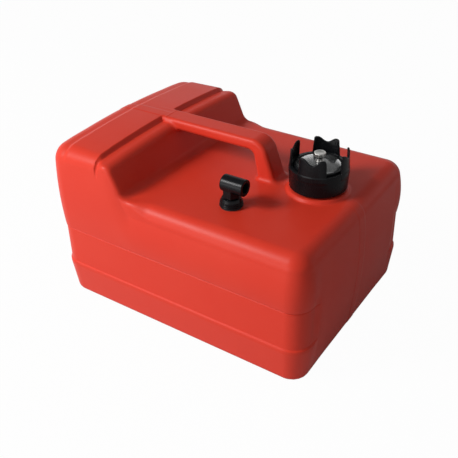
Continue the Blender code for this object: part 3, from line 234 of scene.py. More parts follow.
class Surface(Graph):
    """Node tree of one material, with its shader ready for values."""

    def __init__(self, name: str) -> None:
        """Makes the material.

        Args:
            name: name of the material.
        """
        self.material = bpy.data.materials.new(name)
        self.material.use_nodes = True
        super().__init__(self.material.node_tree)
        self.shader = self.tree.nodes["Principled BSDF"]
        self.output = self.tree.nodes["Material Output"]

    def dress(self, **values: object) -> bpy.types.Material:
        """Gives the shader its inputs.

        Args:
            values: value or link of each input, which is named with underscores for spaces.

        Returns:
            The material.
        """
        for name, value in values.items():
            self.feed(self.shader, name.replace("_", " "), value)
        return self.material

    def plain(self) -> Shade:
        """Returns what the shader gives."""
        return Shade(self, self.shader.outputs[0])


# finishes


@dataclass(frozen=True)
class MouldedSkin:
    """Red blow-moulded polyethylene: satin, with a faint grain and the soft unevenness of a cooled skin."""

    name: str = "red polyethylene"
    colour: Colour = (0.64, 0.037, 0.018)
    worn: Colour = (0.66, 0.048, 0.025)
    scuffed: Colour = (0.80, 0.20, 0.15)
    roughness: float = 0.40
    index: float = 1.5
    gloss: float = 0.19
    cloud: Noise = Noise(17.0, 3.0)
    cloud_low: float = 0.35
    cloud_gain: float = 1.2
    cloud_rough: float = 0.10
    grain: Noise = Noise(1500.0, 2.0, 0.6)
    grain_depth: float = 0.00005
    waves: Noise = Noise(26.0, 1.0)
    wave_depth: float = 0.00022
    scuffs: Noise = Noise(420.0, 4.0, 0.7)
    scuff_stretch: Triple = (0.25, 1.0, 1.0)
    scuff_tint: Fade = Fade(0.62, 0.8, 0.12)
    scuff_rough: Fade = Fade(0.55, 0.8, 0.08)

    def make(self) -> bpy.types.Material:
        """Makes the material.

        Returns:
            The material.
        """
        graph = Surface(self.name)
        place = graph.place()
        cloud = graph.noise(place, self.cloud)
        scuffs = graph.noise(graph.scaled(place, self.scuff_stretch), self.scuffs)
        tint = graph.mixed((cloud - self.cloud_low) * self.cloud_gain, self.colour, self.worn)
        fine = graph.bumped(graph.noise(place, self.grain), self.grain_depth)
        return graph.dress(
            Base_Color=graph.mixed(scuffs.faded(self.scuff_tint), tint, self.scuffed),
            Roughness=self.roughness + cloud.around(self.cloud_rough) + scuffs.faded(self.scuff_rough),
            Normal=graph.bumped(graph.noise(place, self.waves), self.wave_depth, fine),
            IOR=self.index, Specular_IOR_Level=self.gloss)


@dataclass(frozen=True)
class MouldedNylon:
    """Black injection-moulded nylon: half-gloss, with faint handling marks."""

    name: str = "black nylon"
    colour: Colour = (0.0048, 0.0052, 0.0062)
    dusty: Colour = (0.010, 0.0105, 0.0115)
    roughness: float = 0.27
    index: float = 1.53
    gloss: float = 0.13
    cloud: Noise = Noise(110.0, 3.0)
    cloud_rough: float = 0.16
    marks: Noise = Noise(900.0, 4.0, 0.7)
    mark_stretch: Triple = (1.0, 1.0, 0.2)
    mark_tint: Fade = Fade(0.55, 0.85, 0.6)
    mark_rough: Fade = Fade(0.5, 0.8, 0.14)
    grain: Noise = Noise(2600.0)
    grain_depth: float = 0.00003

    def make(self) -> bpy.types.Material:
        """Makes the material.

        Returns:
            The material.
        """
        graph = Surface(self.name)
        place = graph.place()
        marks = graph.noise(graph.scaled(place, self.mark_stretch), self.marks)
        clouded = self.roughness + graph.noise(place, self.cloud).around(self.cloud_rough)
        return graph.dress(
            Base_Color=graph.mixed(marks.faded(self.mark_tint), self.colour, self.dusty),
            Roughness=clouded + marks.faded(self.mark_rough),
            Normal=graph.bumped(graph.noise(place, self.grain), self.grain_depth),
            IOR=self.index, Specular_IOR_Level=self.gloss)


@dataclass(frozen=True)
class Paint:
    """Plain moulded colour or rubber, with a cloudy tint and a fine grain."""

    name: str
    colour: Colour
    pale: Colour
    roughness: float
    spread: float = 0.15
    cloud: Noise = Noise(160.0, 3.0, 0.6)
    grain: Noise = Noise(2200.0)
    grain_depth: float = 0.00004

    def make(self) -> bpy.types.Material:
        """Makes the material.

        Returns:
            The material.
        """
        graph = Surface(self.name)
        place = graph.place()
        cloud = graph.noise(place, self.cloud)
        return graph.dress(Base_Color=graph.mixed(cloud, self.colour, self.pale),
                           Roughness=self.roughness + cloud.around(self.spread),
                           Normal=graph.bumped(graph.noise(place, self.grain), self.grain_depth))


@dataclass(frozen=True)
class ClearPlastic:
    """Clear acrylic of the lens, with a thin film of dust and fine scratches."""

    name: str = "clear acrylic"
    film: Colour = (0.80, 0.82, 0.82)
    tint: Colour = (0.94, 0.95, 0.95)
    index: float = 1.49
    sheen: float = 2.6
    sheen_rough: float = 0.08
    roughness: float = 0.07
    film_share: float = 0.05
    dust: Noise = Noise(260.0, 4.0, 0.7)
    dust_rough: Fade = Fade(0.45, 0.8, 0.12)
    dust_share: Fade = Fade(0.45, 0.8, 0.10)

    def make(self) -> bpy.types.Material:
        """Makes the material.

        Returns:
            The material.
        """
        graph = Surface(self.name)
        dust = graph.noise(graph.place(), self.dust)
        graph.dress(Base_Color=self.film, Roughness=self.roughness + dust.faded(self.dust_rough), IOR=self.index)
        gloss = graph.node("ShaderNodeFresnel", {}, {"IOR": self.index})
        clear = graph.node("ShaderNodeBsdfTransparent", {}, {"Color": self.tint})
        mirror = graph.node("ShaderNodeBsdfAnisotropic", {}, {"Color": WHITE, "Roughness": self.sheen_rough})
        bare = graph.blend((gloss * self.sheen).clipped(), clear, mirror)
        dusted = graph.blend(self.film_share + dust.faded(self.dust_share), bare, graph.plain())
        graph.feed(graph.output, "Surface", dusted)
        return graph.material


@dataclass(frozen=True)
class DialFace:
    """Pale printed dial with plain marks around its edge and a low band, over which a painted shadow sweep and a
    painted shade sector are laid.

    Each pair of radii or angles is the stretch over which something starts or ends.
    """

    centre: Pair
    name: str = "pale dial"
    colour: Colour = (0.80, 0.80, 0.78)
    aged: Colour = (0.70, 0.70, 0.68)
    ink: Colour = (0.05, 0.05, 0.055)
    low_band: Colour = (0.55, 0.05, 0.03)
    # painted shadow and painted shade: colours laid on the dial where the prongs and the vent knob shade it
    painted_shadow: Colour = (0.035, 0.037, 0.04)
    painted_shade: Colour = (0.22, 0.225, 0.22)
    marks: float = 16.0
    mark_edge: Pair = (0.86, 0.90)
    mark_radii: tuple[Pair, Pair] = ((0.0182, 0.0184), (0.0214, 0.0216))
    ring_radii: tuple[Pair, Pair] = ((0.0216, 0.0217), (0.0221, 0.0222))
    band_radii: tuple[Pair, Pair] = ((0.0150, 0.0151), (0.0170, 0.0171))
    band_angles: tuple[Pair, Pair] = ((1.20, 1.21), (2.35, 2.36))
    painted_shadow_angles: tuple[Pair, Pair] = ((0.70, 0.95), (1.75, 2.10))
    painted_shade_angles: tuple[Pair, Pair] = ((-1.75, -1.35), (0.70, 0.95))
    paper: Noise = Noise(500.0, 3.0)
    paper_low: float = 0.4
    paper_gain: float = 0.4
    paper_rough: float = 0.1
    roughness: float = 0.45

    def make(self) -> bpy.types.Material:
        """Makes the material.

        Returns:
            The material.
        """
        graph = Surface(self.name)
        place = graph.place()
        split = graph.node("ShaderNodeSeparateXYZ", {}, {0: place})
        x = split - self.centre[0]
        y = graph.part(split, 1) - self.centre[1]
        radius = graph.node("ShaderNodeMath", {"operation": "POWER"}, {0: x * x + y * y, 1: 0.5})
        angle = graph.node("ShaderNodeMath", {"operation": "ARCTAN2"}, {0: y, 1: x})
        comb = graph.node("ShaderNodeMath", {"operation": "COSINE"}, {0: angle * self.marks})
        printed = comb.ramp(*self.mark_edge) * radius.between(*self.mark_radii) + radius.between(*self.ring_radii)
        band = radius.between(*self.band_radii) * angle.between(*self.band_angles)
        paper = graph.noise(place, self.paper)
        face = graph.mixed((paper - self.paper_low) * self.paper_gain, self.colour, self.aged)
        # painted shade sector, then painted shadow sweep, laid over the printed face
        shaded = graph.mixed(angle.between(*self.painted_shade_angles), face, self.painted_shade)
        shaded = graph.mixed(angle.between(*self.painted_shadow_angles), shaded, self.painted_shadow)
        banded = graph.mixed(band, shaded, self.low_band)
        return graph.dress(Base_Color=graph.mixed(printed.clipped(), banded, self.ink),
                           Roughness=self.roughness + paper * self.paper_rough)


@dataclass(frozen=True)
class Metal:
    """Bare or plated metal with fine turning or drawing marks."""

    name: str
    colour: Colour
    dull: Colour
    roughness: float
    stretch: Triple = (1.0, 1.0, 0.06)
    marks: Noise = Noise(1800.0, 3.0, 0.7)
    mark_rough: float = 0.16
    mark_depth: float = 0.00002
    cloud: Noise = Noise(240.0, 3.0, 0.6)
    dulled: Pair = (0.4, 0.75)
    cloud_rough: Fade = Fade(0.5, 0.8, 0.12)

    def make(self) -> bpy.types.Material:
        """Makes the material.

        Returns:
            The material.
        """
        graph = Surface(self.name)
        place = graph.place()
        marks = graph.noise(graph.scaled(place, self.stretch), self.marks)
        cloud = graph.noise(place, self.cloud)
        return graph.dress(
            Base_Color=graph.mixed(cloud.ramp(*self.dulled), self.colour, self.dull), Metallic=1.0,
            Roughness=self.roughness + marks.around(self.mark_rough) + cloud.faded(self.cloud_rough),
            Normal=graph.bumped(marks, self.mark_depth))


@dataclass(frozen=True)
class Foam:
    """Closed-cell float foam, with painted shade that makes each pit darker towards its bottom."""

    name: str = "nitrile foam"
    colour: Colour = (0.018, 0.018, 0.018)
    pale: Colour = (0.06, 0.06, 0.058)
    roughness: float = 0.85
    pits: float = 900.0
    # share of the colour that is painted shade in the pits; the rest is random cloudy tone
    painted_pit_shade_share: float = 0.8
    pit_depth: float = 0.0003
    cloud: Noise = Noise(120.0, 3.0)

    def make(self) -> bpy.types.Material:
        """Makes the material.

        Returns:
            The material.
        """
        graph = Surface(self.name)
        place = graph.place()
        pits = graph.cells(place, self.pits)
        # painted shade in the pits: colour darkens where the bump sinks, mixed with a random cloudy tone
        share = pits * self.painted_pit_shade_share + graph.noise(place, self.cloud) * (1 - self.painted_pit_shade_share)
        return graph.dress(Base_Color=graph.mixed(share, self.colour, self.pale), Roughness=self.roughness,
                           Normal=graph.bumped(pits, self.pit_depth))


class Finishes:
    """Every finish of the tank, made once."""

    def __init__(self, dial: Pair) -> None:
        """Makes the materials.

        Args:
            dial: middle of the dial.
        """
        made = {
            Slot.RED: MouldedSkin(),
            Slot.BLACK: MouldedNylon(),
            Slot.RUBBER: Paint("nitrile rubber", (0.012, 0.012, 0.012), (0.035, 0.034, 0.033), 0.72, 0.2,
                               Noise(300.0, 4.0, 0.65), Noise(4000.0), 0.00005),
            Slot.CLEAR: ClearPlastic(),
            Slot.DIAL: DialFace(dial),
            Slot.POINTER: Paint("orange pointer", (0.70, 0.10, 0.02), (0.78, 0.16, 0.05), 0.4),
            Slot.STEEL: Metal("stainless steel", (0.56, 0.55, 0.53), (0.42, 0.41, 0.40), 0.28),
            Slot.BRIGHT: Metal("plated brass", (0.72, 0.71, 0.68), (0.62, 0.61, 0.58), 0.30, (1.0, 1.0, 0.3)),
            Slot.FOAM: Foam(),
            Slot.NATURAL: Paint("natural nylon", (0.66, 0.64, 0.55), (0.72, 0.70, 0.62), 0.38),
        }
        self.materials = {slot: finish.make() for slot, finish in made.items()}

    def __getitem__(self, slot: Slot) -> bpy.types.Material:
        """Returns the material of a slot."""
        return self.materials[slot]


# forms


def eased(value: Array) -> Array:
    """Eases a share from zero to one."""
    held = np.clip(value, 0.0, 1.0)
    return held * held * (3 - 2 * held)


def both(a: Array, b: Array, radius: Union[float, Array] = 0.0, lean: float = 0.0) -> Array:
    """Signed distance to what lies inside two forms, with a rounded outer edge.

    Args:
        a: signed distance to one form, negative inside.
        b: signed distance to the other.
        radius: radius of the edge.
        lean: cosine of the angle between their outward directions.

    Returns:
        The signed distance.
    """
    near_a, near_b = a + radius, b + radius
    apex = np.sqrt(np.maximum(near_a ** 2 + near_b ** 2 - 2 * lean * near_a * near_b, 0.0) / (1 - lean * lean))
    past = (near_a > near_b * lean) & (near_b > near_a * lean)
    return np.where(past, apex, np.maximum(near_a, near_b)) - radius


def either(a: Array, b: Array, radius: Union[float, Array] = 0.0, lean: float = 0.0) -> Array:
    """Signed distance to what lies inside either form, with a filleted inner edge."""
    return -both(-a, -b, radius, lean)


def stations(low: float, high: float, step: float, fine: Sequence[Triple] = (), growth: float = 0.25) -> Array:
    """Places from low to past high, closer together where detail asks for it.

    Args:
        low: first place.
        high: place that the last one passes.
        step: usual distance.
        fine: start, end and distance of each stretch with detail.
        growth: how much wider the distance gets for each metre away from a stretch.

    Returns:
        The places.
    """
    places = [low]
    while places[-1] < high:
        at = places[-1]
        near = [small + growth * max(start - at, at - end, 0.0) for start, end, small in fine]
        places.append(at + min([step, *near]))
    return np.array(places)


class Form:
    """A smooth skin drawn around a signed distance."""

    def __init__(self, distance: Callable[[Array, Array, Array], Array]) -> None:
        """Keeps the signed distance at x, y and z, which is negative inside."""
        self.distance = distance

    def slope(self, points: Array, reach: float) -> Array:
        """Finds the direction in which the distance grows, and how fast.

        Args:
            points: where.
            reach: how far to each side the distance is compared.

        Returns:
            The slope at each point.
        """
        found = np.empty_like(points)
        for axis in range(3):
            ahead, behind = points.copy(), points.copy()
            ahead[:, axis] += reach
            behind[:, axis] -= reach
            found[:, axis] = (self.distance(*ahead.T) - self.distance(*behind.T)) / (2 * reach)
        return found

    @staticmethod
    def crossings(value: Array, grid: tuple[Array, Array, Array], cell: Array, corners: list) -> Array:
        """Finds the middle of the places where the skin crosses the edges of each cell.

        Args:
            value: signed distance at every corner of the grid.
            grid: places of the grid along each axis.
            cell: numbers of the cells along each axis.
            corners: the eight corners of a cell.

        Returns:
            One point for each cell.
        """
        total = np.zeros((len(cell), 3))
        hits = np.zeros(len(cell))
        for first in corners:
            for axis in range(3):
                if first[axis]:
                    continue
                second = tuple(1 if n == axis else v for n, v in enumerate(first))
                a, b = cell + first, cell + second
                value_a, value_b = value[tuple(a.T)], value[tuple(b.T)]
                cross = (value_a < 0) != (value_b < 0)
                share = np.where(cross, value_a / np.where(cross, value_a - value_b, 1.0), 0.0)
                for n in range(3):
                    low, high = grid[n][a[:, n]], grid[n][b[:, n]]
                    total[:, n] += cross * (low + (high - low) * share)
                hits += cross
        return total / hits[:, None]

    def skin(self, grid: tuple[Array, Array, Array]) -> tuple[Array, Array]:
        """Draws the skin inside a grid of cells, with a point in each cell that it crosses.

        Args:
            grid: places of the grid along each axis.

        Returns:
            The points and the four-cornered faces.
        """
        shape = tuple(len(places) for places in grid)
        value = np.broadcast_to(self.distance(*np.ix_(*grid)), shape)
        inside = value < 0
        count = np.zeros([n - 1 for n in shape], np.int8)
        corners = [(i, j, k) for i in (0, 1) for j in (0, 1) for k in (0, 1)]
        for i, j, k in corners:
            count += inside[i:shape[0] - 1 + i, j:shape[1] - 1 + j, k:shape[2] - 1 + k]
        cell = np.argwhere((count > 0) & (count < len(corners)))
        index = np.full(count.shape, -1, np.int64)
        index[tuple(cell.T)] = np.arange(len(cell))
        faces = []
        for axis in range(3):
            one, two = (axis + 1) % 3, (axis + 2) % 3
            low, high = [slice(1, -1)] * 3, [slice(1, -1)] * 3
            low[axis], high[axis] = slice(0, -1), slice(1, None)
            start, end = inside[tuple(low)], inside[tuple(high)]
            edge = np.argwhere(start != end)
            leaving = start[tuple(edge.T)]
            ring = []
            for on_one, on_two in ((0, 0), (1, 0), (1, 1), (0, 1)):
                at = edge.copy()
                at[:, one] += on_one
                at[:, two] += on_two
                ring.append(index[tuple(at.T)])
            ring = np.stack(ring, 1)
            ring[~leaving] = ring[~leaving][:, ::-1]
            faces.append(ring)
        return self.crossings(value, grid, cell, corners), np.concatenate(faces)

    def settled(self, points: Array, limit: float, rounds: int = 3, reach: float = 1e-5) -> Array:
        """Moves points along the slope until they lie on the skin.

        Args:
            points: the points.
            limit: how far a point may move in one round.
            rounds: how often the points are moved.
            reach: how far to each side the distance is compared.

        Returns:
            The moved points.
        """
        held = points.copy()
        for _ in range(rounds):
            slope = self.slope(held, reach)
            size = np.maximum((slope ** 2).sum(1), 1e-6)
            move = (self.distance(*held.T) / size)[:, None] * slope
            length = np.maximum(np.linalg.norm(move, axis=1, keepdims=True), TINY)
            held -= move * np.minimum(1.0, limit / length)
        return held

    def leans(self, points: Array, reach: float = 0.00025) -> Array:
        """Returns unit directions out of the skin at its points."""
        slope = self.slope(points, reach)
        return slope / np.maximum(np.linalg.norm(slope, axis=1, keepdims=True), TINY)


def rounded(outline: Outline, radius: float, steps: int = 3, seam: float = 0.0001) -> list[Pair]:
    """Closes an outline that starts in the middle of a side, and rounds its corners.

    Args:
        outline: (radius, height) pairs in order.
        radius: radius of every corner, less where a side is too short for it.
        steps: facets in each corner.
        seam: height of the last point over the first.

    Returns:
        The rounded outline.
    """
    whole = [*outline, (outline[0][0], outline[0][1] + seam)]
    most, least = 0.49, 1e-6
    points = [whole[0]]
    for before, here, after in zip(*([Vector(point) for point in whole[n:]] for n in range(3))):
        back, on = before - here, after - here
        cut = min(radius / math.tan(back.angle(on) / 2), most * back.length, most * on.length)
        if cut < least:
            points.append(tuple(here))
            continue
        start, end = here + back.normalized() * cut, here + on.normalized() * cut
        for step in range(steps + 1):
            share = step / steps
            points.append(tuple(start * (1 - share) ** 2 + here * 2 * share * (1 - share) + end * share ** 2))
    return [*points, whole[-1]]


class Tag(NamedTuple):
    """What a piece is: its name, material slot and body, and the nodes of the frame that it stands for."""

    name: str
    slot: Slot
    body: Body
    stands_for: Sequence[str] = ()


@dataclass(frozen=True)
class Thread:
    """A screw thread on a cylinder, whose ends run out into it; a negative depth stands inward."""

    radius: float
    depth: float
    low: float
    turns: float
    begin: float = 0.0
    pitch: float = 0.006
    facets: int = 72
    sink: float = 0.0003
    root_half: float = 0.0013
    crest_half: float = 0.0006
    bevel: float = 0.00015
    bevel_share: float = 0.75
    run_out: float = 0.17
    narrowing: float = 0.0007

    def mesh(self, centre: Triple) -> tuple[list, list]:
        """Draws the ridge.

        Args:
            centre: x, y and height zero of the axis.

        Returns:
            Its points and faces.
        """
        steps = int(self.facets * self.turns)
        sink = math.copysign(self.sink, self.depth)
        points, faces, section = [], [], []
        for step in range(steps + 1):
            share = step / steps
            turn = self.begin + 2 * math.pi * self.turns * share
            fade = float(eased(np.array(min(share, 1 - share) * self.turns / self.run_out)))
            crest, half = self.depth * fade, self.crest_half + self.narrowing * (1 - fade)
            section = [(-sink, -self.root_half), (crest * self.bevel_share, -half - self.bevel), (crest, -half)]
            section += [(reach, -rise) for reach, rise in reversed(section)]
            middle = centre[2] + self.low + self.pitch * self.turns * share
            for reach, rise in section:
                points.append((centre[0] + (self.radius + reach) * math.cos(turn),
                               centre[1] + (self.radius + reach) * math.sin(turn), middle + rise))
        wide = len(section)
        for step in range(steps):
            for side in range(wide):
                a, b = step * wide + side, step * wide + (side + 1) % wide
                faces.append([a, a + wide, b + wide, b])
        faces += [list(range(wide)), list(range(steps * wide, (steps + 1) * wide))[::-1]]
        return points, faces if self.depth > 0 else [[face[0], *face[:0:-1]] for face in faces]


@dataclass
class Workshop:
    """Turns points and faces into pieces of the scene."""

    finishes: Finishes
    sharp: float = math.radians(38)
    free_move: float = 0.6

    def piece(self, tag: Tag, points: Sequence, faces: Sequence, leans: Optional[Array] = None) -> None:
        """Makes one piece, dresses it and lets it ride.

        Args:
            tag: what the piece is.
            points: its points.
            faces: its faces.
            leans: directions out of the skin at its points, or None to smooth by angle.
        """
        name, slot, body, stands_for = tag
        mesh = bpy.data.meshes.new(name)
        mesh.from_pydata(np.asarray(points).tolist(), [], [list(map(int, face)) for face in faces])
        mesh.materials.append(self.finishes[slot])
        mesh.shade_smooth()
        if leans is None:
            mesh.set_sharp_from_angle(angle=self.sharp)
        else:
            mesh.normals_split_custom_set_from_vertices(leans.tolist())
        made = bpy.data.objects.new(name, mesh)
        bpy.context.scene.collection.objects.link(made)
        if stands_for:
            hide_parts(*stands_for)
        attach(made, body.value)
        LOG.info("%s: %d points, %d faces, on %s", name, len(mesh.vertices), len(mesh.polygons), body.value)

    def turned(self, tag: Tag, outline: Outline, centre: Triple, steps: int = 96,
               wave: Optional[Callable[[float, float, float], float]] = None) -> None:
        """Turns a closed outline about an upright axis.

        Args:
            tag: what the piece is.
            outline: (radius, height) pairs in order, closing on the first.
            centre: x, y and height zero of the axis.
            steps: facets around.
            wave: what is added to the radius at an angle, radius and height.
        """
        points, rows, faces = [], [], []
        for radius, height in outline:
            if radius <= TINY:
                rows.append([len(points)] * steps)
                points.append((centre[0], centre[1], centre[2] + height))
                continue
            rows.append(list(range(len(points), len(points) + steps)))
            for index in range(steps):
                turn = 2 * math.pi * index / steps
                reach = radius + (wave(turn, radius, height) if wave else 0.0)
                points.append((centre[0] + reach * math.cos(turn), centre[1] + reach * math.sin(turn),
                               centre[2] + height))
        for low, high in zip(rows, rows[1:] + rows[:1]):
            if low[0] == low[-1] and high[0] == high[-1]:
                continue
            for index in range(steps):
                after = (index + 1) % steps
                ring = [low[index], low[after], high[after], high[index]]
                faces.append([corner for n, corner in enumerate(ring) if corner not in ring[:n]])
        self.piece(tag, points, faces)

    def moulded(self, tag: Tag, form: Form, grid: tuple[Array, Array, Array], centre: Triple = (0.0, 0.0, 0.0),
                keep: Optional[Callable[[Array], Array]] = None) -> None:
        """Makes a piece from the skin of a form.

        Args:
            tag: what the piece is.
            form: the form.
            grid: places along x, y and z, in the form's own frame.
            centre: place of the form's own frame.
            keep: tells which faces stay, from the middles of the faces.
        """
        points, faces = form.skin(grid)
        points = form.settled(points, self.free_move * max(np.diff(places).max() for places in grid))
        leans = form.leans(points)
        if keep is not None:
            faces = faces[keep(points[faces].mean(1))]
        used, index = np.unique(faces, return_inverse=True)
        self.piece(tag, points[used] + np.array(centre), index.reshape(faces.shape), leans[used])

    def dress_nodes(self, **names: Slot) -> None:
        """Gives nodes of the frame that stay as they are their finish.

        Args:
            names: material slot of each node.
        """
        for name, slot in names.items():
            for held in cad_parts[name].material_slots:
                held.material = self.finishes[slot]
            LOG.info("%s: kept from the frame as %s", name, slot.value)


# sub-assemblies


@dataclass
class Tank:
    """Blow-moulded tank with its raised block, carrying handle, boss and threaded filler neck.

    A signed distance is negative inside what it is drawn for.
    """

    cap: Pair
    length: float = 0.350
    width: float = 0.268
    deck: float = 0.164
    pad: float = 0.2125
    skin: float = 0.003
    corner: float = 0.0256
    bottom_taper: float = 0.0052
    top_taper: float = 0.0035
    bulge_taper: float = 0.0015
    bulge: float = 0.0024
    bow: float = 0.00136
    bottom_edge: float = 0.005
    skirt: float = 0.0474
    skirt_below: float = 0.0014
    skirt_ease: float = 0.0030
    step_inset: float = 0.0022
    crest_inset: float = 0.0004
    crest_below: float = 0.005
    crest_ease: float = 0.004
    band: float = 0.0978
    band_inset: float = 0.0029
    band_ease: float = 0.0011
    band_fade: float = 0.015
    band_groove: float = 0.0008
    band_groove_half: float = 0.0010
    block_limit: float = 0.193
    deck_limit: float = 0.1465
    limit_start: float = -0.085
    limit_run: float = 0.035
    crown: float = 0.0078
    margin_drop: float = 0.0020
    margin_start: float = -0.1475
    margin_run: float = 0.006
    groove_start: float = -0.0982
    groove_run: float = 0.0052
    groove_drop: float = 0.0056
    groove_corner: float = 0.006
    tee_half: float = 0.0092
    tee_run: float = 0.0046
    tee_end: float = -0.094
    lip_centre: float = -0.085
    lip_radius: float = 0.0116
    foot_radius: float = 0.012
    draft: float = math.radians(20)
    foot_centre: float = -0.0529
    block_edge: float = 0.0195
    deck_edge: float = 0.0164
    end_edge: float = 0.019
    wall_edge: float = 0.0055
    wall_edge_runs: Pair = (0.015, 0.028)
    edge_limit: float = 0.0207
    land_half: float = 0.0064
    land_ease: float = 0.0018
    land_depth: float = 0.0004
    land_end: float = 0.07
    land_fade: float = 0.03
    handle_top: float = 0.2122
    handle_under: float = 0.1985
    handle_half: float = 0.01425
    handle_middle: float = 0.0055
    handle_edge: float = 0.005
    handle_root: float = -0.118
    handle_foot: float = 0.156
    leg_end: float = 0.0657
    leg_front: float = 0.0422
    outer_lean: float = math.radians(20)
    inner_lean: float = math.radians(12)
    outer_bend: float = 0.021
    inner_bend: float = 0.008
    handle_fillet: float = 0.004
    leg_fillet: float = 0.0055
    leg_fillet_start: float = 0.01
    leg_fillet_run: float = 0.02
    boss_radius: float = 0.0355
    boss_foot: float = 0.154
    boss_top: float = 0.168
    boss_edge: float = 0.0032
    boss_fillet: float = 0.0025
    neck_bore: float = 0.0225
    neck_radius: float = 0.026
    neck_height: float = 0.015
    neck_flange: float = 0.036
    neck_flange_heights: Pair = (-0.0078, -0.0068)
    neck_edge: float = 0.0006
    neck_facets: int = 120
    thread_depth: float = 0.0018
    thread_low: float = 0.0035
    thread_turns: float = 1.5
    pickup: Pair = (0.0496, -0.074)
    filler_holes: Pair = (0.0240, 0.0300)
    pickup_hole: float = 0.0085
    hole_bottom: float = 0.158
    room: Triple = (0.004, 0.003, 0.004)
    room_under: float = 0.003
    steps: Triple = (0.0040, 0.0038, 0.0036)
    fine: Sequence[Sequence[Triple]] = (
        ((-0.166, -0.140, 0.0023), (-0.106, -0.062, 0.0014), (0.025, 0.080, 0.0019), (0.080, 0.150, 0.0019)),
        ((-0.013, 0.024, 0.0014), (-0.032, 0.048, 0.0019)),
        ((0.0445, 0.0500, 0.0006), (0.0965, 0.0992, 0.0004), (0.161, 0.170, 0.0011), (0.198, 0.214, 0.0014)),
    )
    inside_steps: Triple = (0.008, 0.008, 0.006)
    inside_fine: Sequence[Sequence[Triple]] = (((0.08, 0.146, 0.004),), ((-0.025, 0.041, 0.004),), ())

    def flank(self, z: Array, low: Array, limit: Array) -> Array:
        """Works out how far the long sides stand in at a height.

        Args:
            z: height.
            low: share of the way up the skirt.
            limit: height at which the side ends.

        Returns:
            The inset.
        """
        foot = self.bottom_taper * (1 - low) + \
            self.crest_inset * eased((z - self.skirt + self.crest_below) / self.crest_ease)
        rise = np.clip((z - self.skirt) / (self.band - self.skirt), 0, 1)
        middle = self.step_inset + (self.band_inset - self.step_inset) * rise
        over = np.clip((z - self.band) / (limit - self.band), 0, 1)
        upper = self.step_inset + (self.top_taper - self.step_inset) * over - self.bulge * 4 * over * (1 - over)
        flank = foot + (middle - foot) * eased((z - self.skirt + self.skirt_below) / self.skirt_ease)
        flank = flank + (upper - middle) * eased((z - self.band) / self.band_ease + 0.5)
        away = np.abs(z - self.band + self.band_ease / 2)
        return flank + self.band_groove * eased(1 - away / self.band_groove_half)

    def wall(self, x: Array, y: Array, z: Array) -> Array:
        """Draws the upright walls, with their skirt, band and bulge.

        Args:
            x: place along the tank.
            y: place across the tank.
            z: height.

        Returns:
            The signed distance.
        """
        past_x = np.abs(x) - (self.length / 2 - self.corner)
        past_y = np.abs(y) - (self.width / 2 - self.corner)
        outline = np.hypot(np.maximum(past_x, 0), np.maximum(past_y, 0)) + np.minimum(np.maximum(past_x, past_y), 0)
        low = np.clip(z / self.skirt, 0, 1)
        limit = self.block_limit + (self.deck_limit - self.block_limit) * eased((x - self.limit_start) / self.limit_run)
        high = np.clip((z - self.skirt) / (limit - self.skirt), 0, 1)
        end = self.bottom_taper + (self.bulge_taper - self.bottom_taper) * low
        end = end + (self.top_taper - self.bulge_taper) * high - self.bulge * 4 * high * (1 - high)
        side = np.where(past_x > 0, eased((past_y + self.band_fade) / self.band_fade), 1.0)
        inset = end + (self.flank(z, low, limit) - end) * side
        bow = self.bow * np.clip(z / self.band, 0, 1) * np.maximum(1 - (y / (self.width / 2 - self.corner)) ** 2, 0)
        return outline - self.corner + inset - np.where(past_x > 0, bow - self.land(y), 0.0)

    def land(self, y: Array) -> Array:
        """Returns how deep the skin lies beside the raised land along the mould's parting."""
        beside = eased((np.abs(y) - self.land_half) / self.land_ease)
        return self.land_depth * beside * (1 - eased((np.abs(y) - self.land_end) / self.land_fade))

    def top(self, x: Array, y: Array, z: Array) -> Array:
        """Draws the top: the domed block with its groove, its sloping wall and the deck.

        Args:
            x: place along the tank.
            y: place across the tank.
            z: height.

        Returns:
            The signed distance.
        """
        dome = 1 - self.crown / (self.pad - self.deck) * (y / (self.width / 2)) ** 2
        flat = np.where(z > self.deck, self.deck + (z - self.deck) / dome, z)
        across = (np.abs(y - self.handle_middle) - self.tee_half) * self.groove_run / self.tee_run
        reach = either(x - self.groove_start, across, self.groove_corner)
        share = np.maximum(reach / self.groove_run, (x - self.tee_end) / self.groove_run)
        held = np.clip(share, 0, 1)
        slope = 6 * held * (1 - held) * self.groove_drop / self.groove_run
        margin = self.margin_drop * (1 - eased((x - self.margin_start) / self.margin_run))
        height = self.pad - self.groove_drop * eased(share) - margin - self.land(y)
        roof = (flat - height) / np.sqrt(1 + slope * slope)
        strip = self.pad - self.groove_drop
        slant = (x - self.lip_centre) * math.cos(self.draft) + \
            (flat - (strip - self.lip_radius)) * math.sin(self.draft) - self.lip_radius
        block = both(roof, slant, self.lip_radius, math.sin(self.draft))
        return either(block, flat - self.deck, self.foot_radius, math.sin(self.draft))

    def edge(self, x: Array) -> Array:
        """Works out the radius of the edge between the top and the long sides.

        Args:
            x: place along the tank.

        Returns:
            The radius.
        """
        first, last = self.corner - self.length / 2, self.length / 2 - self.corner
        radius = self.block_edge + (self.deck_edge - self.block_edge) * eased((x - first) / (self.groove_start - first))
        radius = radius + (self.end_edge - self.deck_edge) * eased((x - self.foot_centre) / (last - self.foot_centre))
        ahead, behind = self.wall_edge_runs
        away = np.maximum((self.lip_centre - x) / ahead, (x - self.foot_centre) / behind)
        return np.minimum(radius + (self.wall_edge - radius) * (1 - eased(away)), self.edge_limit)

    def arch(self, x: Array, z: Array, height: float, end: float, lean: float, bend: float) -> Array:
        """Draws what lies under a level top and behind a leaning end.

        Args:
            x: place along the tank.
            z: height.
            height: height of the top.
            end: place of the end at the deck.
            lean: angle by which the end leans back.
            bend: radius of the bend between them.

        Returns:
            The signed distance.
        """
        face = (x - end) * math.cos(lean) + (z - self.deck) * math.sin(lean)
        return both(z - height, face, bend, math.sin(lean))

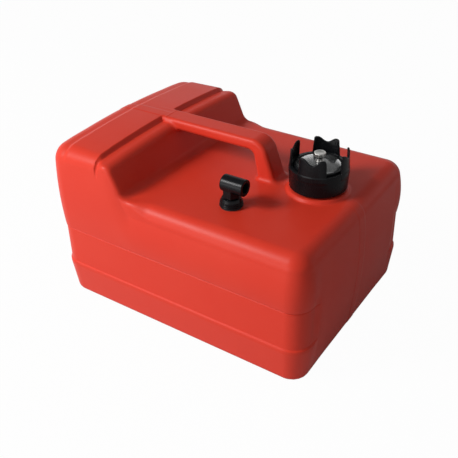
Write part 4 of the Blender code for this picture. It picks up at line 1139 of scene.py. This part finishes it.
    def handle(self, x: Array, y: Array, z: Array) -> Array:
        """Draws the handle's bar and leg.

        Args:
            x: place along the tank.
            y: place across the tank.
            z: height.

        Returns:
            The signed distance.
        """
        outer = self.arch(x, z, self.handle_top, self.leg_end, self.outer_lean, self.outer_bend)
        inner = self.arch(x, z, self.handle_under, self.leg_front, self.inner_lean, self.inner_bend)
        profile = np.maximum(np.maximum(outer, -inner), np.maximum(self.handle_root - x, self.handle_foot - z))
        return both(profile, np.abs(y - self.handle_middle) - self.handle_half, self.handle_edge)

    def body(self, x: Array, y: Array, z: Array) -> Array:
        """Draws the tank with its handle.

        Args:
            x: place along the tank.
            y: place across the tank.
            z: height.

        Returns:
            The signed distance.
        """
        box = both(both(self.wall(x, y, z), self.top(x, y, z), self.edge(x)), -z, self.bottom_edge)
        drop = self.groove_drop * eased((x - self.tee_end) / self.groove_run)
        fillet = np.minimum(self.handle_fillet, drop) + (self.leg_fillet - self.handle_fillet) * \
            eased((x - self.leg_fillet_start) / self.leg_fillet_run)
        return either(box, self.handle(x, y, z), fillet)

    def outside(self, x: Array, y: Array, z: Array) -> Array:
        """Draws the tank's outside, with the boss under the cap.

        Args:
            x: place along the tank.
            y: place across the tank.
            z: height.

        Returns:
            The signed distance.
        """
        ring = np.hypot(x - self.cap[0], y - self.cap[1]) - self.boss_radius
        boss = np.maximum(both(ring, z - self.boss_top, self.boss_edge), self.boss_foot - z)
        return either(self.body(x, y, z), boss, self.boss_fillet)

    def inside(self, x: Array, y: Array, z: Array) -> Array:
        """Draws the tank's inside, which is negative in its wall."""
        return -self.body(x, y, z) - self.skin

    def clear(self, middles: Array, filler: float, pickup: float) -> Array:
        """Tells which faces lie clear of the holes for the filler and the pickup.

        Args:
            middles: middle of each face.
            filler: radius of the filler's hole.
            pickup: radius of the pickup's hole.

        Returns:
            True for each face that stays.
        """
        stays = np.ones(len(middles), bool)
        for centre, radius in ((self.cap, filler), (self.pickup, pickup)):
            near = np.hypot(middles[:, 0] - centre[0], middles[:, 1] - centre[1]) < radius
            stays &= ~(near & (middles[:, 2] > self.hole_bottom))
        return stays

    def grid(self, steps: Triple, fine: Sequence[Sequence[Triple]]) -> tuple[Array, ...]:
        """Lays a grid of cells around the tank.

        Args:
            steps: usual distance along each axis.
            fine: stretches with detail along each axis.

        Returns:
            The places along each axis.
        """
        far_x, far_y = self.length / 2 + self.room[0], self.width / 2 + self.room[1]
        ends = ((-far_x, far_x), (-far_y, far_y), (-self.room_under, self.pad + self.room[2]))
        return tuple(stations(*end, step, near) for end, step, near in zip(ends, steps, fine))

    def build(self, shop: Workshop) -> None:
        """Makes the tank's outside, its inside and its filler neck.

        Args:
            shop: the workshop.
        """
        outer, inner = self.filler_holes
        shop.moulded(Tag("tank_skin", Slot.RED, Body.TANK, ["tank_shell"]), Form(self.outside),
                     self.grid(self.steps, self.fine),
                     keep=lambda middles: self.clear(middles, outer, self.pickup_hole))
        shop.moulded(Tag("tank_inside", Slot.RED, Body.TANK), Form(self.inside),
                     self.grid(self.inside_steps, self.inside_fine),
                     keep=lambda middles: self.clear(middles, inner, 0.0))
        centre = (*self.cap, self.boss_top)
        under, over = self.neck_flange_heights
        neck = rounded([(self.neck_bore, 0.0), (self.neck_bore, under), (self.neck_flange, under),
                        (self.neck_flange, over), (self.neck_radius, over), (self.neck_radius, self.neck_height),
                        (self.neck_bore, self.neck_height)], self.neck_edge)
        shop.turned(Tag("filler_neck", Slot.RED, Body.TANK), neck, centre, self.neck_facets)
        thread = Thread(self.neck_radius, self.thread_depth, self.thread_low, self.thread_turns)
        shop.piece(Tag("filler_thread", Slot.RED, Body.TANK), *thread.mesh(centre))


@dataclass
class Collar:
    """Black screw collar with four finger prongs around the gauge."""

    centre: Triple
    low: float = 0.0023
    base_radius: float = 0.033
    rim_radius: float = 0.0339
    rim: float = 0.027
    bore: float = 0.0284
    rim_bore: float = 0.029
    edge: float = 0.0009
    lip_radius: float = 0.0266
    lip_low: float = 0.0199
    lip_high: float = 0.0224
    overlap: float = 0.001
    prongs: int = 4
    prong_turn: float = math.radians(12)
    foot_half: float = math.radians(30)
    top_half: float = math.radians(27.5)
    ledge: float = 0.022
    ledge_out: float = 0.0002
    sunk: float = 0.002
    ear: float = 0.047
    valley: float = 0.006
    valley_power: float = 1.2
    thickness: float = 0.0024
    plate_edge: float = 0.0008
    top_radius: float = 0.0322
    ear_share: float = 0.80
    ear_slope: float = 0.9
    ear_radius: float = 0.0026
    thread_depth: float = -0.0018
    thread_low: float = 0.0041
    thread_turns: float = 1.25
    thread_begin: float = 1.2 * math.pi
    steps: Pair = (0.0011, 0.0013)
    room: Triple = (0.0022, 0.0008, 0.0012)
    fine: Sequence[Triple] = ((0.0018, 0.0036, 0.0006), (0.0195, 0.0285, 0.0007), (0.039, 0.048, 0.0009))

    def prong(self, radius: Array, x: Array, y: Array, z: Array) -> Array:
        """Draws the prongs, each of which has two ears.

        Args:
            radius: distance from the axis.
            x: place along the tank.
            y: place across the tank.
            z: height.

        Returns:
            The signed distance.
        """
        quarter = 2 * math.pi / self.prongs
        turn = np.abs(np.mod(np.arctan2(y, x) - self.prong_turn + quarter / 2, quarter) - quarter / 2)
        up = np.clip((z - self.ledge) / (self.ear - self.ledge), 0, 1)
        foot_radius = self.base_radius + (self.rim_radius - self.base_radius) * self.ledge / self.rim + self.ledge_out
        skin = foot_radius + (self.top_radius - foot_radius) * up
        half = self.foot_half + (self.top_half - self.foot_half) * up
        plate = both(radius - skin, skin - self.thickness - radius, self.plate_edge)
        dip = 0.5 + 0.5 * np.cos(math.pi * np.minimum(turn / (self.top_half * self.ear_share), 1.0))
        crest = z - (self.ear - self.valley * dip ** self.valley_power)
        side = np.maximum((turn - half) * self.rim_radius, self.ledge - self.sunk - z)
        return both(plate, both(side, crest * self.ear_slope, self.ear_radius), self.edge)

    def distance(self, x: Array, y: Array, z: Array) -> Array:
        """Draws the collar in its own frame.

        Args:
            x: place along the tank.
            y: place across the tank.
            z: height.

        Returns:
            The signed distance.
        """
        radius = np.hypot(x, y)
        rise = np.clip((z - self.low) / (self.rim - self.low), 0, 1)
        outer = radius - (self.base_radius + (self.rim_radius - self.base_radius) * rise)
        inner = np.where(z > self.lip_high, self.rim_bore, self.bore) - radius
        ring = both(both(outer, inner, self.edge), both(z - self.rim, self.low - z), self.edge)
        lip = np.maximum(np.maximum(self.lip_radius - radius, radius - self.bore - self.overlap),
                         np.maximum(self.lip_low - z, z - self.lip_high))
        return np.minimum(either(ring, self.prong(radius, x, y, z), self.plate_edge), lip)

    def build(self, shop: Workshop) -> None:
        """Makes the collar and its inner thread.

        Args:
            shop: the workshop.
        """
        around, under, over = self.room
        reach = self.rim_radius + around
        across = stations(-reach, reach, self.steps[0])
        grid = (across, across, stations(-under, self.ear + over, self.steps[1], self.fine))
        shop.moulded(Tag("screw_collar", Slot.BLACK, Body.COLLAR, ["cap_collar"]), Form(self.distance), grid,
                     self.centre)
        thread = Thread(self.bore, self.thread_depth, self.thread_low, self.thread_turns, self.thread_begin)
        shop.piece(Tag("collar_thread", Slot.BLACK, Body.COLLAR), *thread.mesh(self.centre))


@dataclass
class Gauge:
    """Sight gauge in the collar: lens, ring, dial and the parts that hang down into the tank."""

    centre: Triple
    cup: float = 0.0263
    cup_inner: float = 0.0243
    lens_low: float = 0.0260
    lens_edge: float = 0.0276
    lens_rise: float = 0.0035
    lens_hole: float = 0.0043
    lens_gap: float = 0.0003
    lip_inner: float = 0.0253
    bezel_inner: float = 0.0266
    bezel: float = 0.0284
    bezel_low: float = 0.0227
    bezel_seam: float = 0.0240
    bezel_lip: float = 0.0279
    bezel_top: float = 0.0289
    bezel_edge: float = 0.0004
    dial_radius: float = 0.0240
    dial_low: float = 0.0199
    dial_seam: float = 0.0202
    dial_high: float = 0.0207
    dial_hole: float = 0.0026
    dial_edge: float = 0.0001
    arc_steps: int = 14

    def arc(self, radius: float, edge: float) -> list[Pair]:
        """Draws a dome from its edge to the hole in its middle.

        Args:
            radius: radius of the edge.
            edge: height of the edge.

        Returns:
            (radius, height) pairs.
        """
        shares = [step / self.arc_steps for step in range(self.arc_steps + 1)]
        return [(radius + (self.lens_hole - radius) * share, edge + self.lens_rise * math.sqrt(1 - (1 - share) ** 2))
                for share in shares]

    def build(self, shop: Workshop) -> None:
        """Makes the lens, the ring that holds it and the dial, and dresses what is kept.

        Args:
            shop: the workshop.
        """
        lens = [(self.cup_inner, self.lens_low), (self.cup, self.lens_low), (self.cup, self.lens_edge)]
        lens += self.arc(self.lip_inner - self.lens_gap, self.lens_edge)
        lens += self.arc(self.cup_inner, self.lens_low)[:0:-1]
        shop.turned(Tag("clear_lens", Slot.CLEAR, Body.GAUGE, ["gauge_lens"]), lens, self.centre)
        ring = rounded([(self.bezel_inner, self.bezel_seam), (self.bezel_inner, self.bezel_low),
                        (self.bezel, self.bezel_low), (self.bezel, self.bezel_top), (self.lip_inner, self.bezel_top),
                        (self.lip_inner, self.bezel_lip), (self.bezel_inner, self.bezel_lip)], self.bezel_edge)
        shop.turned(Tag("lens_ring", Slot.BLACK, Body.GAUGE, ["lens_bezel"]), ring, self.centre)
        face = rounded([(self.dial_hole, self.dial_seam), (self.dial_hole, self.dial_low),
                        (self.dial_radius, self.dial_low), (self.dial_radius, self.dial_high),
                        (self.dial_hole, self.dial_high)], self.dial_edge, 2)
        shop.turned(Tag("dial_plate", Slot.DIAL, Body.GAUGE, ["gauge_dial"]), face, self.centre)
        shop.dress_nodes(
            cap_gasket=Slot.RUBBER, lens_gasket=Slot.RUBBER, gauge_housing=Slot.BLACK, gauge_end_bar=Slot.BLACK,
            gauge_guide_rod_left=Slot.STEEL, gauge_guide_rod_right=Slot.STEEL, gauge_twist_strip=Slot.STEEL,
            gauge_pointer=Slot.POINTER, gauge_float=Slot.FOAM, float_drive_plate=Slot.STEEL)


@dataclass
class Vent:
    """Metal vent in the middle of the lens: a sleeve with a flange and a knurled thumb screw.

    Both outlines are (radius, height) pairs: the sleeve's goes down its bore and up its outside, and the screw's goes
    from its point up the shaft, around the head and into the dish on top.
    """

    centre: Triple
    sleeve: Outline = ((0.0024, 0.0330), (0.0024, 0.0281), (0.0012, 0.0281), (0.0012, 0.0271), (0.0039, 0.0271),
                       (0.0039, 0.0314), (0.0052, 0.0314), (0.0052, 0.0326), (0.0039, 0.0326), (0.0039, 0.0348),
                       (0.0024, 0.0348))
    sleeve_edge: float = 0.0003
    sleeve_facets: int = 64
    screw: Outline = ((0.0, 0.0284), (0.0006, 0.0284), (0.0020, 0.0296), (0.0020, 0.0370), (0.0036, 0.0370),
                      (0.0036, 0.0383), (0.0066, 0.0383), (0.0066, 0.0423), (0.0049, 0.0423), (0.0043, 0.0418))
    screw_dish: float = 0.0416
    screw_edge: float = 0.0006
    screw_facets: int = 192
    flutes: int = 24
    flute_depth: float = 0.0003
    flute_power: float = 0.7
    fluted_from: Pair = (0.0062, 0.0377)

    def knurl(self, turn: float, radius: float, height: float) -> float:
        """Works out what the knurling takes off the radius.

        Args:
            turn: angle around the axis.
            radius: distance from it.
            height: height.

        Returns:
            What is added to the radius.
        """
        if radius < self.fluted_from[0] or height < self.fluted_from[1]:
            return 0.0
        return -self.flute_depth * (0.5 - 0.5 * math.cos(self.flutes * turn)) ** self.flute_power

    def build(self, shop: Workshop) -> None:
        """Makes the sleeve and the screw, and dresses the ring between them.

        Args:
            shop: the workshop.
        """
        sleeve = rounded(self.sleeve, self.sleeve_edge)
        shop.turned(Tag("vent_socket", Slot.STEEL, Body.GAUGE, ["vent_sleeve"]), sleeve, self.centre,
                    self.sleeve_facets)
        screw = rounded(self.screw, self.screw_edge, seam=self.screw_dish - self.screw[0][1])
        shop.turned(Tag("vent_knob", Slot.BRIGHT, Body.VENT, ["vent_screw"]), screw, self.centre,
                    self.screw_facets, self.knurl)
        shop.dress_nodes(vent_o_ring=Slot.RUBBER)


@dataclass
class Pickup:
    """Fuel pickup: ribbed nut, swivelling elbow with its hose port, and the dip tube below."""

    centre: Triple
    nut_low: float = 0.0018
    nut_high: float = 0.0113
    nut_radius: float = 0.0134
    nut_top_radius: float = 0.0105
    nut_edge: float = 0.0004
    ribs: int = 3
    rib_depth: float = 0.0009
    rib_spread: float = 0.67
    rib_taper: float = 0.33
    rib_heights: Triple = (0.5, 0.67, 1.16)
    bore: float = 0.0072
    bore_seam: float = 0.0060
    seat: float = 0.0030
    tube_bore: float = 0.0035
    spigot: float = 0.0096
    spigot_low: float = -0.0115
    axis_height: float = 0.027
    barrel: float = 0.0095
    reach: float = 0.0187
    back: float = 0.0095
    back_edge: float = 0.0016
    front_edge: float = 0.0007
    port: float = 0.0060
    port_past: float = 0.0040
    port_edge: float = 0.0005
    hex_half: float = 0.0085
    hex_turns: Triple = (30.0, 90.0, 150.0)
    hex_edge: float = 0.0006
    neck_gap: float = 0.0003
    neck_fillet: float = 0.0010
    stem: float = 0.0069
    steps: Pair = (0.0006, 0.0007)
    room: Triple = (0.0015, 0.001, 0.0008)

    def nut(self) -> Outline:
        """Draws the nut's outline, whose ribs step in towards the top.

        Returns:
            (radius, height) pairs.
        """
        height = (self.nut_high - self.nut_low) * self.rib_spread / self.ribs
        taper = (self.nut_radius - self.nut_top_radius) * self.rib_taper / self.ribs
        face, valley, above = self.rib_heights
        outline = [(self.bore, self.bore_seam), (self.bore, self.seat), (self.tube_bore, self.seat),
                   (self.tube_bore, self.spigot_low), (self.spigot, self.spigot_low), (self.spigot, self.nut_low),
                   (self.nut_radius, self.nut_low)]
        for rib in range(self.ribs):
            start, reach = self.nut_low + height * rib, self.nut_radius - taper * rib
            outline += [(reach, start + height * face), (reach - self.rib_depth, start + height * valley),
                        (reach - self.rib_depth, start + height)]
            if rib < self.ribs - 1:
                outline.append((reach - taper, start + height * above))
        outline += [(self.nut_top_radius, self.nut_high), (self.bore, self.nut_high)]
        return rounded(outline, self.nut_edge)

    def elbow(self, x: Array, y: Array, z: Array) -> Array:
        """Draws the elbow in the pickup's own frame.

        Args:
            x: place along the tank.
            y: place across the tank.
            z: height.

        Returns:
            The signed distance.
        """
        flats = []
        for turn in map(math.radians, self.hex_turns):
            flats.append(np.abs(x * math.cos(turn) + y * math.sin(turn)) - self.hex_half)
        six = both(both(flats[0], flats[1], self.hex_edge, 0.5), flats[2], self.hex_edge, 0.5)
        neck = both(six, both(self.nut_high + self.neck_gap - z, z - self.axis_height), self.hex_edge)
        around = np.hypot(y, z - self.axis_height)
        closed = both(around - self.barrel, -x - self.back, self.back_edge)
        barrel = both(closed, x - self.reach, self.front_edge)
        stem = np.maximum(np.hypot(x, y) - self.stem, np.maximum(self.seat - z, z - self.axis_height))
        solid = either(either(neck, barrel, self.neck_fillet), stem)
        hole = both(around - self.port, -x - self.port_past)
        return both(solid, -hole, self.port_edge)

    def build(self, shop: Workshop) -> None:
        """Makes the nut and the elbow, and dresses what is kept.

        Args:
            shop: the workshop.
        """
        shop.turned(Tag("ribbed_nut", Slot.BLACK, Body.TANK, ["pickup_nut"]), self.nut(), self.centre)
        around, ahead, under = self.room
        wide, (step, rise) = self.barrel + around, self.steps
        grid = (stations(-wide, self.reach + ahead, step), stations(-wide, wide, step),
                stations(self.seat - under, self.axis_height + wide, rise))
        shop.moulded(Tag("hose_elbow", Slot.BLACK, Body.ELBOW, ["pickup_elbow"]), Form(self.elbow), grid, self.centre)
        shop.dress_nodes(pickup_gasket=Slot.RUBBER, elbow_o_ring=Slot.RUBBER, elbow_retaining_clip=Slot.STEEL,
                         pickup_tube=Slot.NATURAL, pickup_strainer=Slot.NATURAL)


# room


class Lamp(NamedTuple):
    """A soft lamp: its name, where it hangs and points, its width and height, and its power."""

    name: str
    place: Triple
    aim: Triple
    wide: float
    tall: float
    power: float


@dataclass
class Studio:
    """Pale floor, soft lamps and the camera."""

    floor_side: float = 12.0
    floor_colour: Colour = (0.56, 0.56, 0.56)
    floor_pale: Colour = (0.58, 0.58, 0.58)
    floor_grain: Noise = Noise(40.0)
    floor_roughness: float = 0.9
    floor_glow: float = 0.975
    # painted light and shade on the floor as mirrors see it: brighter glow at the front and left, dim at the right
    painted_lit_floor_glow: float = 0.60
    painted_shaded_floor_glow: float = 0.08
    painted_floor_glow_turn: Pair = (-0.08, 0.14)
    sky_low: float = 0.11
    sky_high: float = 0.34
    haze: Pair = (0.30, 0.52)
    dim: float = 0.22
    lamps: Sequence[Lamp] = (
        Lamp("key", (-0.82, -1.06, 1.15), (0.0, 0.0, 0.10), 0.5, 0.5, 22.5),
        Lamp("front_fill", (-0.45, -1.60, 0.30), (0.0, 0.0, 0.10), 1.1, 0.6, 7.2),
    )
    focal_pixels: float = 673.23
    picture_pixels: float = 458.0
    sensor: float = 36.0
    sight: Pair = (0.01, 50.0)
    azimuth: float = math.radians(34.70)
    elevation: float = math.radians(33.14)
    roll: float = math.radians(-1.62)
    eye: Triple = (0.40651533, -0.59553636, 0.54600199)

    def seen(self, graph: Graph) -> tuple[Shade, Shade]:
        """Returns one for rays from the camera, and one for those from a mirror or through clear plastic."""
        camera = graph.node("ShaderNodeLightPath")
        return camera, (graph.part(camera, "Is Glossy Ray") + graph.part(camera, "Is Transmission Ray")).clipped()

    def floor(self) -> None:
        """Lays the pale floor, whose glow seen in reflections is painted light at the front and left and painted shade
        at the right.
        """
        half = self.floor_side / 2
        mesh = bpy.data.meshes.new("studio_floor")
        mesh.from_pydata([(-half, -half, 0), (half, -half, 0), (half, half, 0), (-half, half, 0)], [], [(0, 1, 2, 3)])
        graph = Surface("pale floor")
        place = graph.place()
        grain = graph.noise(place, self.floor_grain)
        graph.dress(Base_Color=graph.mixed(grain, self.floor_colour, self.floor_pale), Roughness=self.floor_roughness)
        glow = graph.node("ShaderNodeEmission", {}, {"Color": WHITE, "Strength": 1.0})
        camera, mirror = self.seen(graph)
        # painted light and shade in reflections of the floor, fading from the front and left to the right
        split = graph.node("ShaderNodeSeparateXYZ", {}, {0: place})
        right = (split + graph.part(split, 1)).ramp(*self.painted_floor_glow_turn)
        painted_floor_glow = self.painted_lit_floor_glow + right * (self.painted_shaded_floor_glow - self.painted_lit_floor_glow)
        share = camera * self.floor_glow + mirror * painted_floor_glow
        graph.feed(graph.output, "Surface", graph.blend(share, graph.plain(), glow))
        mesh.materials.append(graph.material)
        floor = bpy.data.objects.new("studio_floor", mesh)
        bpy.context.scene.collection.objects.link(floor)

    def air(self) -> None:
        """Fills the room with pale light that grows overhead, behind a white backdrop that fades upwards."""
        world = bpy.data.worlds.new("studio")
        world.use_nodes = True
        bpy.context.scene.world = world
        graph = Graph(world.node_tree)
        split = graph.node("ShaderNodeSeparateXYZ", {}, {0: graph.node("ShaderNodeTexCoord")})
        height = graph.part(split, 2).clipped()
        sky = self.sky_low + height * (self.sky_high - self.sky_low)
        backdrop = 1.0 - height.ramp(*self.haze) * (1.0 - self.dim)
        camera, mirror = self.seen(graph)
        plain = 1.0 - camera - mirror
        ground = world.node_tree.nodes["Background"]
        graph.feed(ground, "Color", WHITE)
        graph.feed(ground, "Strength", plain.clipped() * sky + mirror * backdrop + camera)

    def hang(self, lamp: Lamp) -> None:
        """Hangs one lamp.

        Args:
            lamp: the lamp.
        """
        light = bpy.data.lights.new(lamp.name, "AREA")
        light.shape = "RECTANGLE"
        light.size, light.size_y = lamp.wide, lamp.tall
        light.energy = lamp.power
        made = bpy.data.objects.new(lamp.name, light)
        made.location = lamp.place
        made.rotation_mode = "QUATERNION"
        made.rotation_quaternion = (Vector(lamp.aim) - Vector(lamp.place)).to_track_quat("-Z", "Y")
        bpy.context.scene.collection.objects.link(made)

    def camera(self) -> None:
        """Sets the camera where the picture was taken from."""
        a, e, r = self.azimuth, self.elevation, self.roll
        ahead = Vector((-math.sin(a) * math.cos(e), math.cos(a) * math.cos(e), -math.sin(e)))
        right = Vector((math.cos(a), math.sin(a), 0.0))
        up = right.cross(ahead)
        across = right * math.cos(r) + up * math.sin(r)
        upright = -right * math.sin(r) + up * math.cos(r)
        turn = Matrix((across, upright, -ahead)).transposed().to_4x4()
        turn.translation = self.eye
        data = bpy.data.cameras.new("camera")
        data.sensor_width = self.sensor
        data.lens = self.focal_pixels / self.picture_pixels * self.sensor
        data.clip_start, data.clip_end = self.sight
        camera = bpy.data.objects.new("camera", data)
        bpy.context.scene.collection.objects.link(camera)
        camera.matrix_world = turn
        bpy.context.scene.camera = camera

    def build(self) -> None:
        """Sets up the room."""
        bpy.context.scene.view_settings.view_transform = "Standard"
        self.floor()
        self.air()
        for lamp in self.lamps:
            self.hang(lamp)
        self.camera()


def main() -> None:
    """Builds the looks of every piece and the room."""
    logging.basicConfig(level=logging.INFO, format="%(name)s: %(message)s")
    cap = (0.113, 0.008)
    tank = Tank(cap)
    centre = (*cap, tank.boss_top)
    shop = Workshop(Finishes(cap))
    for part in (tank, Collar(centre), Gauge(centre), Vent(centre), Pickup((*tank.pickup, tank.deck))):
        LOG.info("building the %s", type(part).__name__.lower())
        part.build(shop)
    Studio().build()


if __name__ == "__main__":
    main()
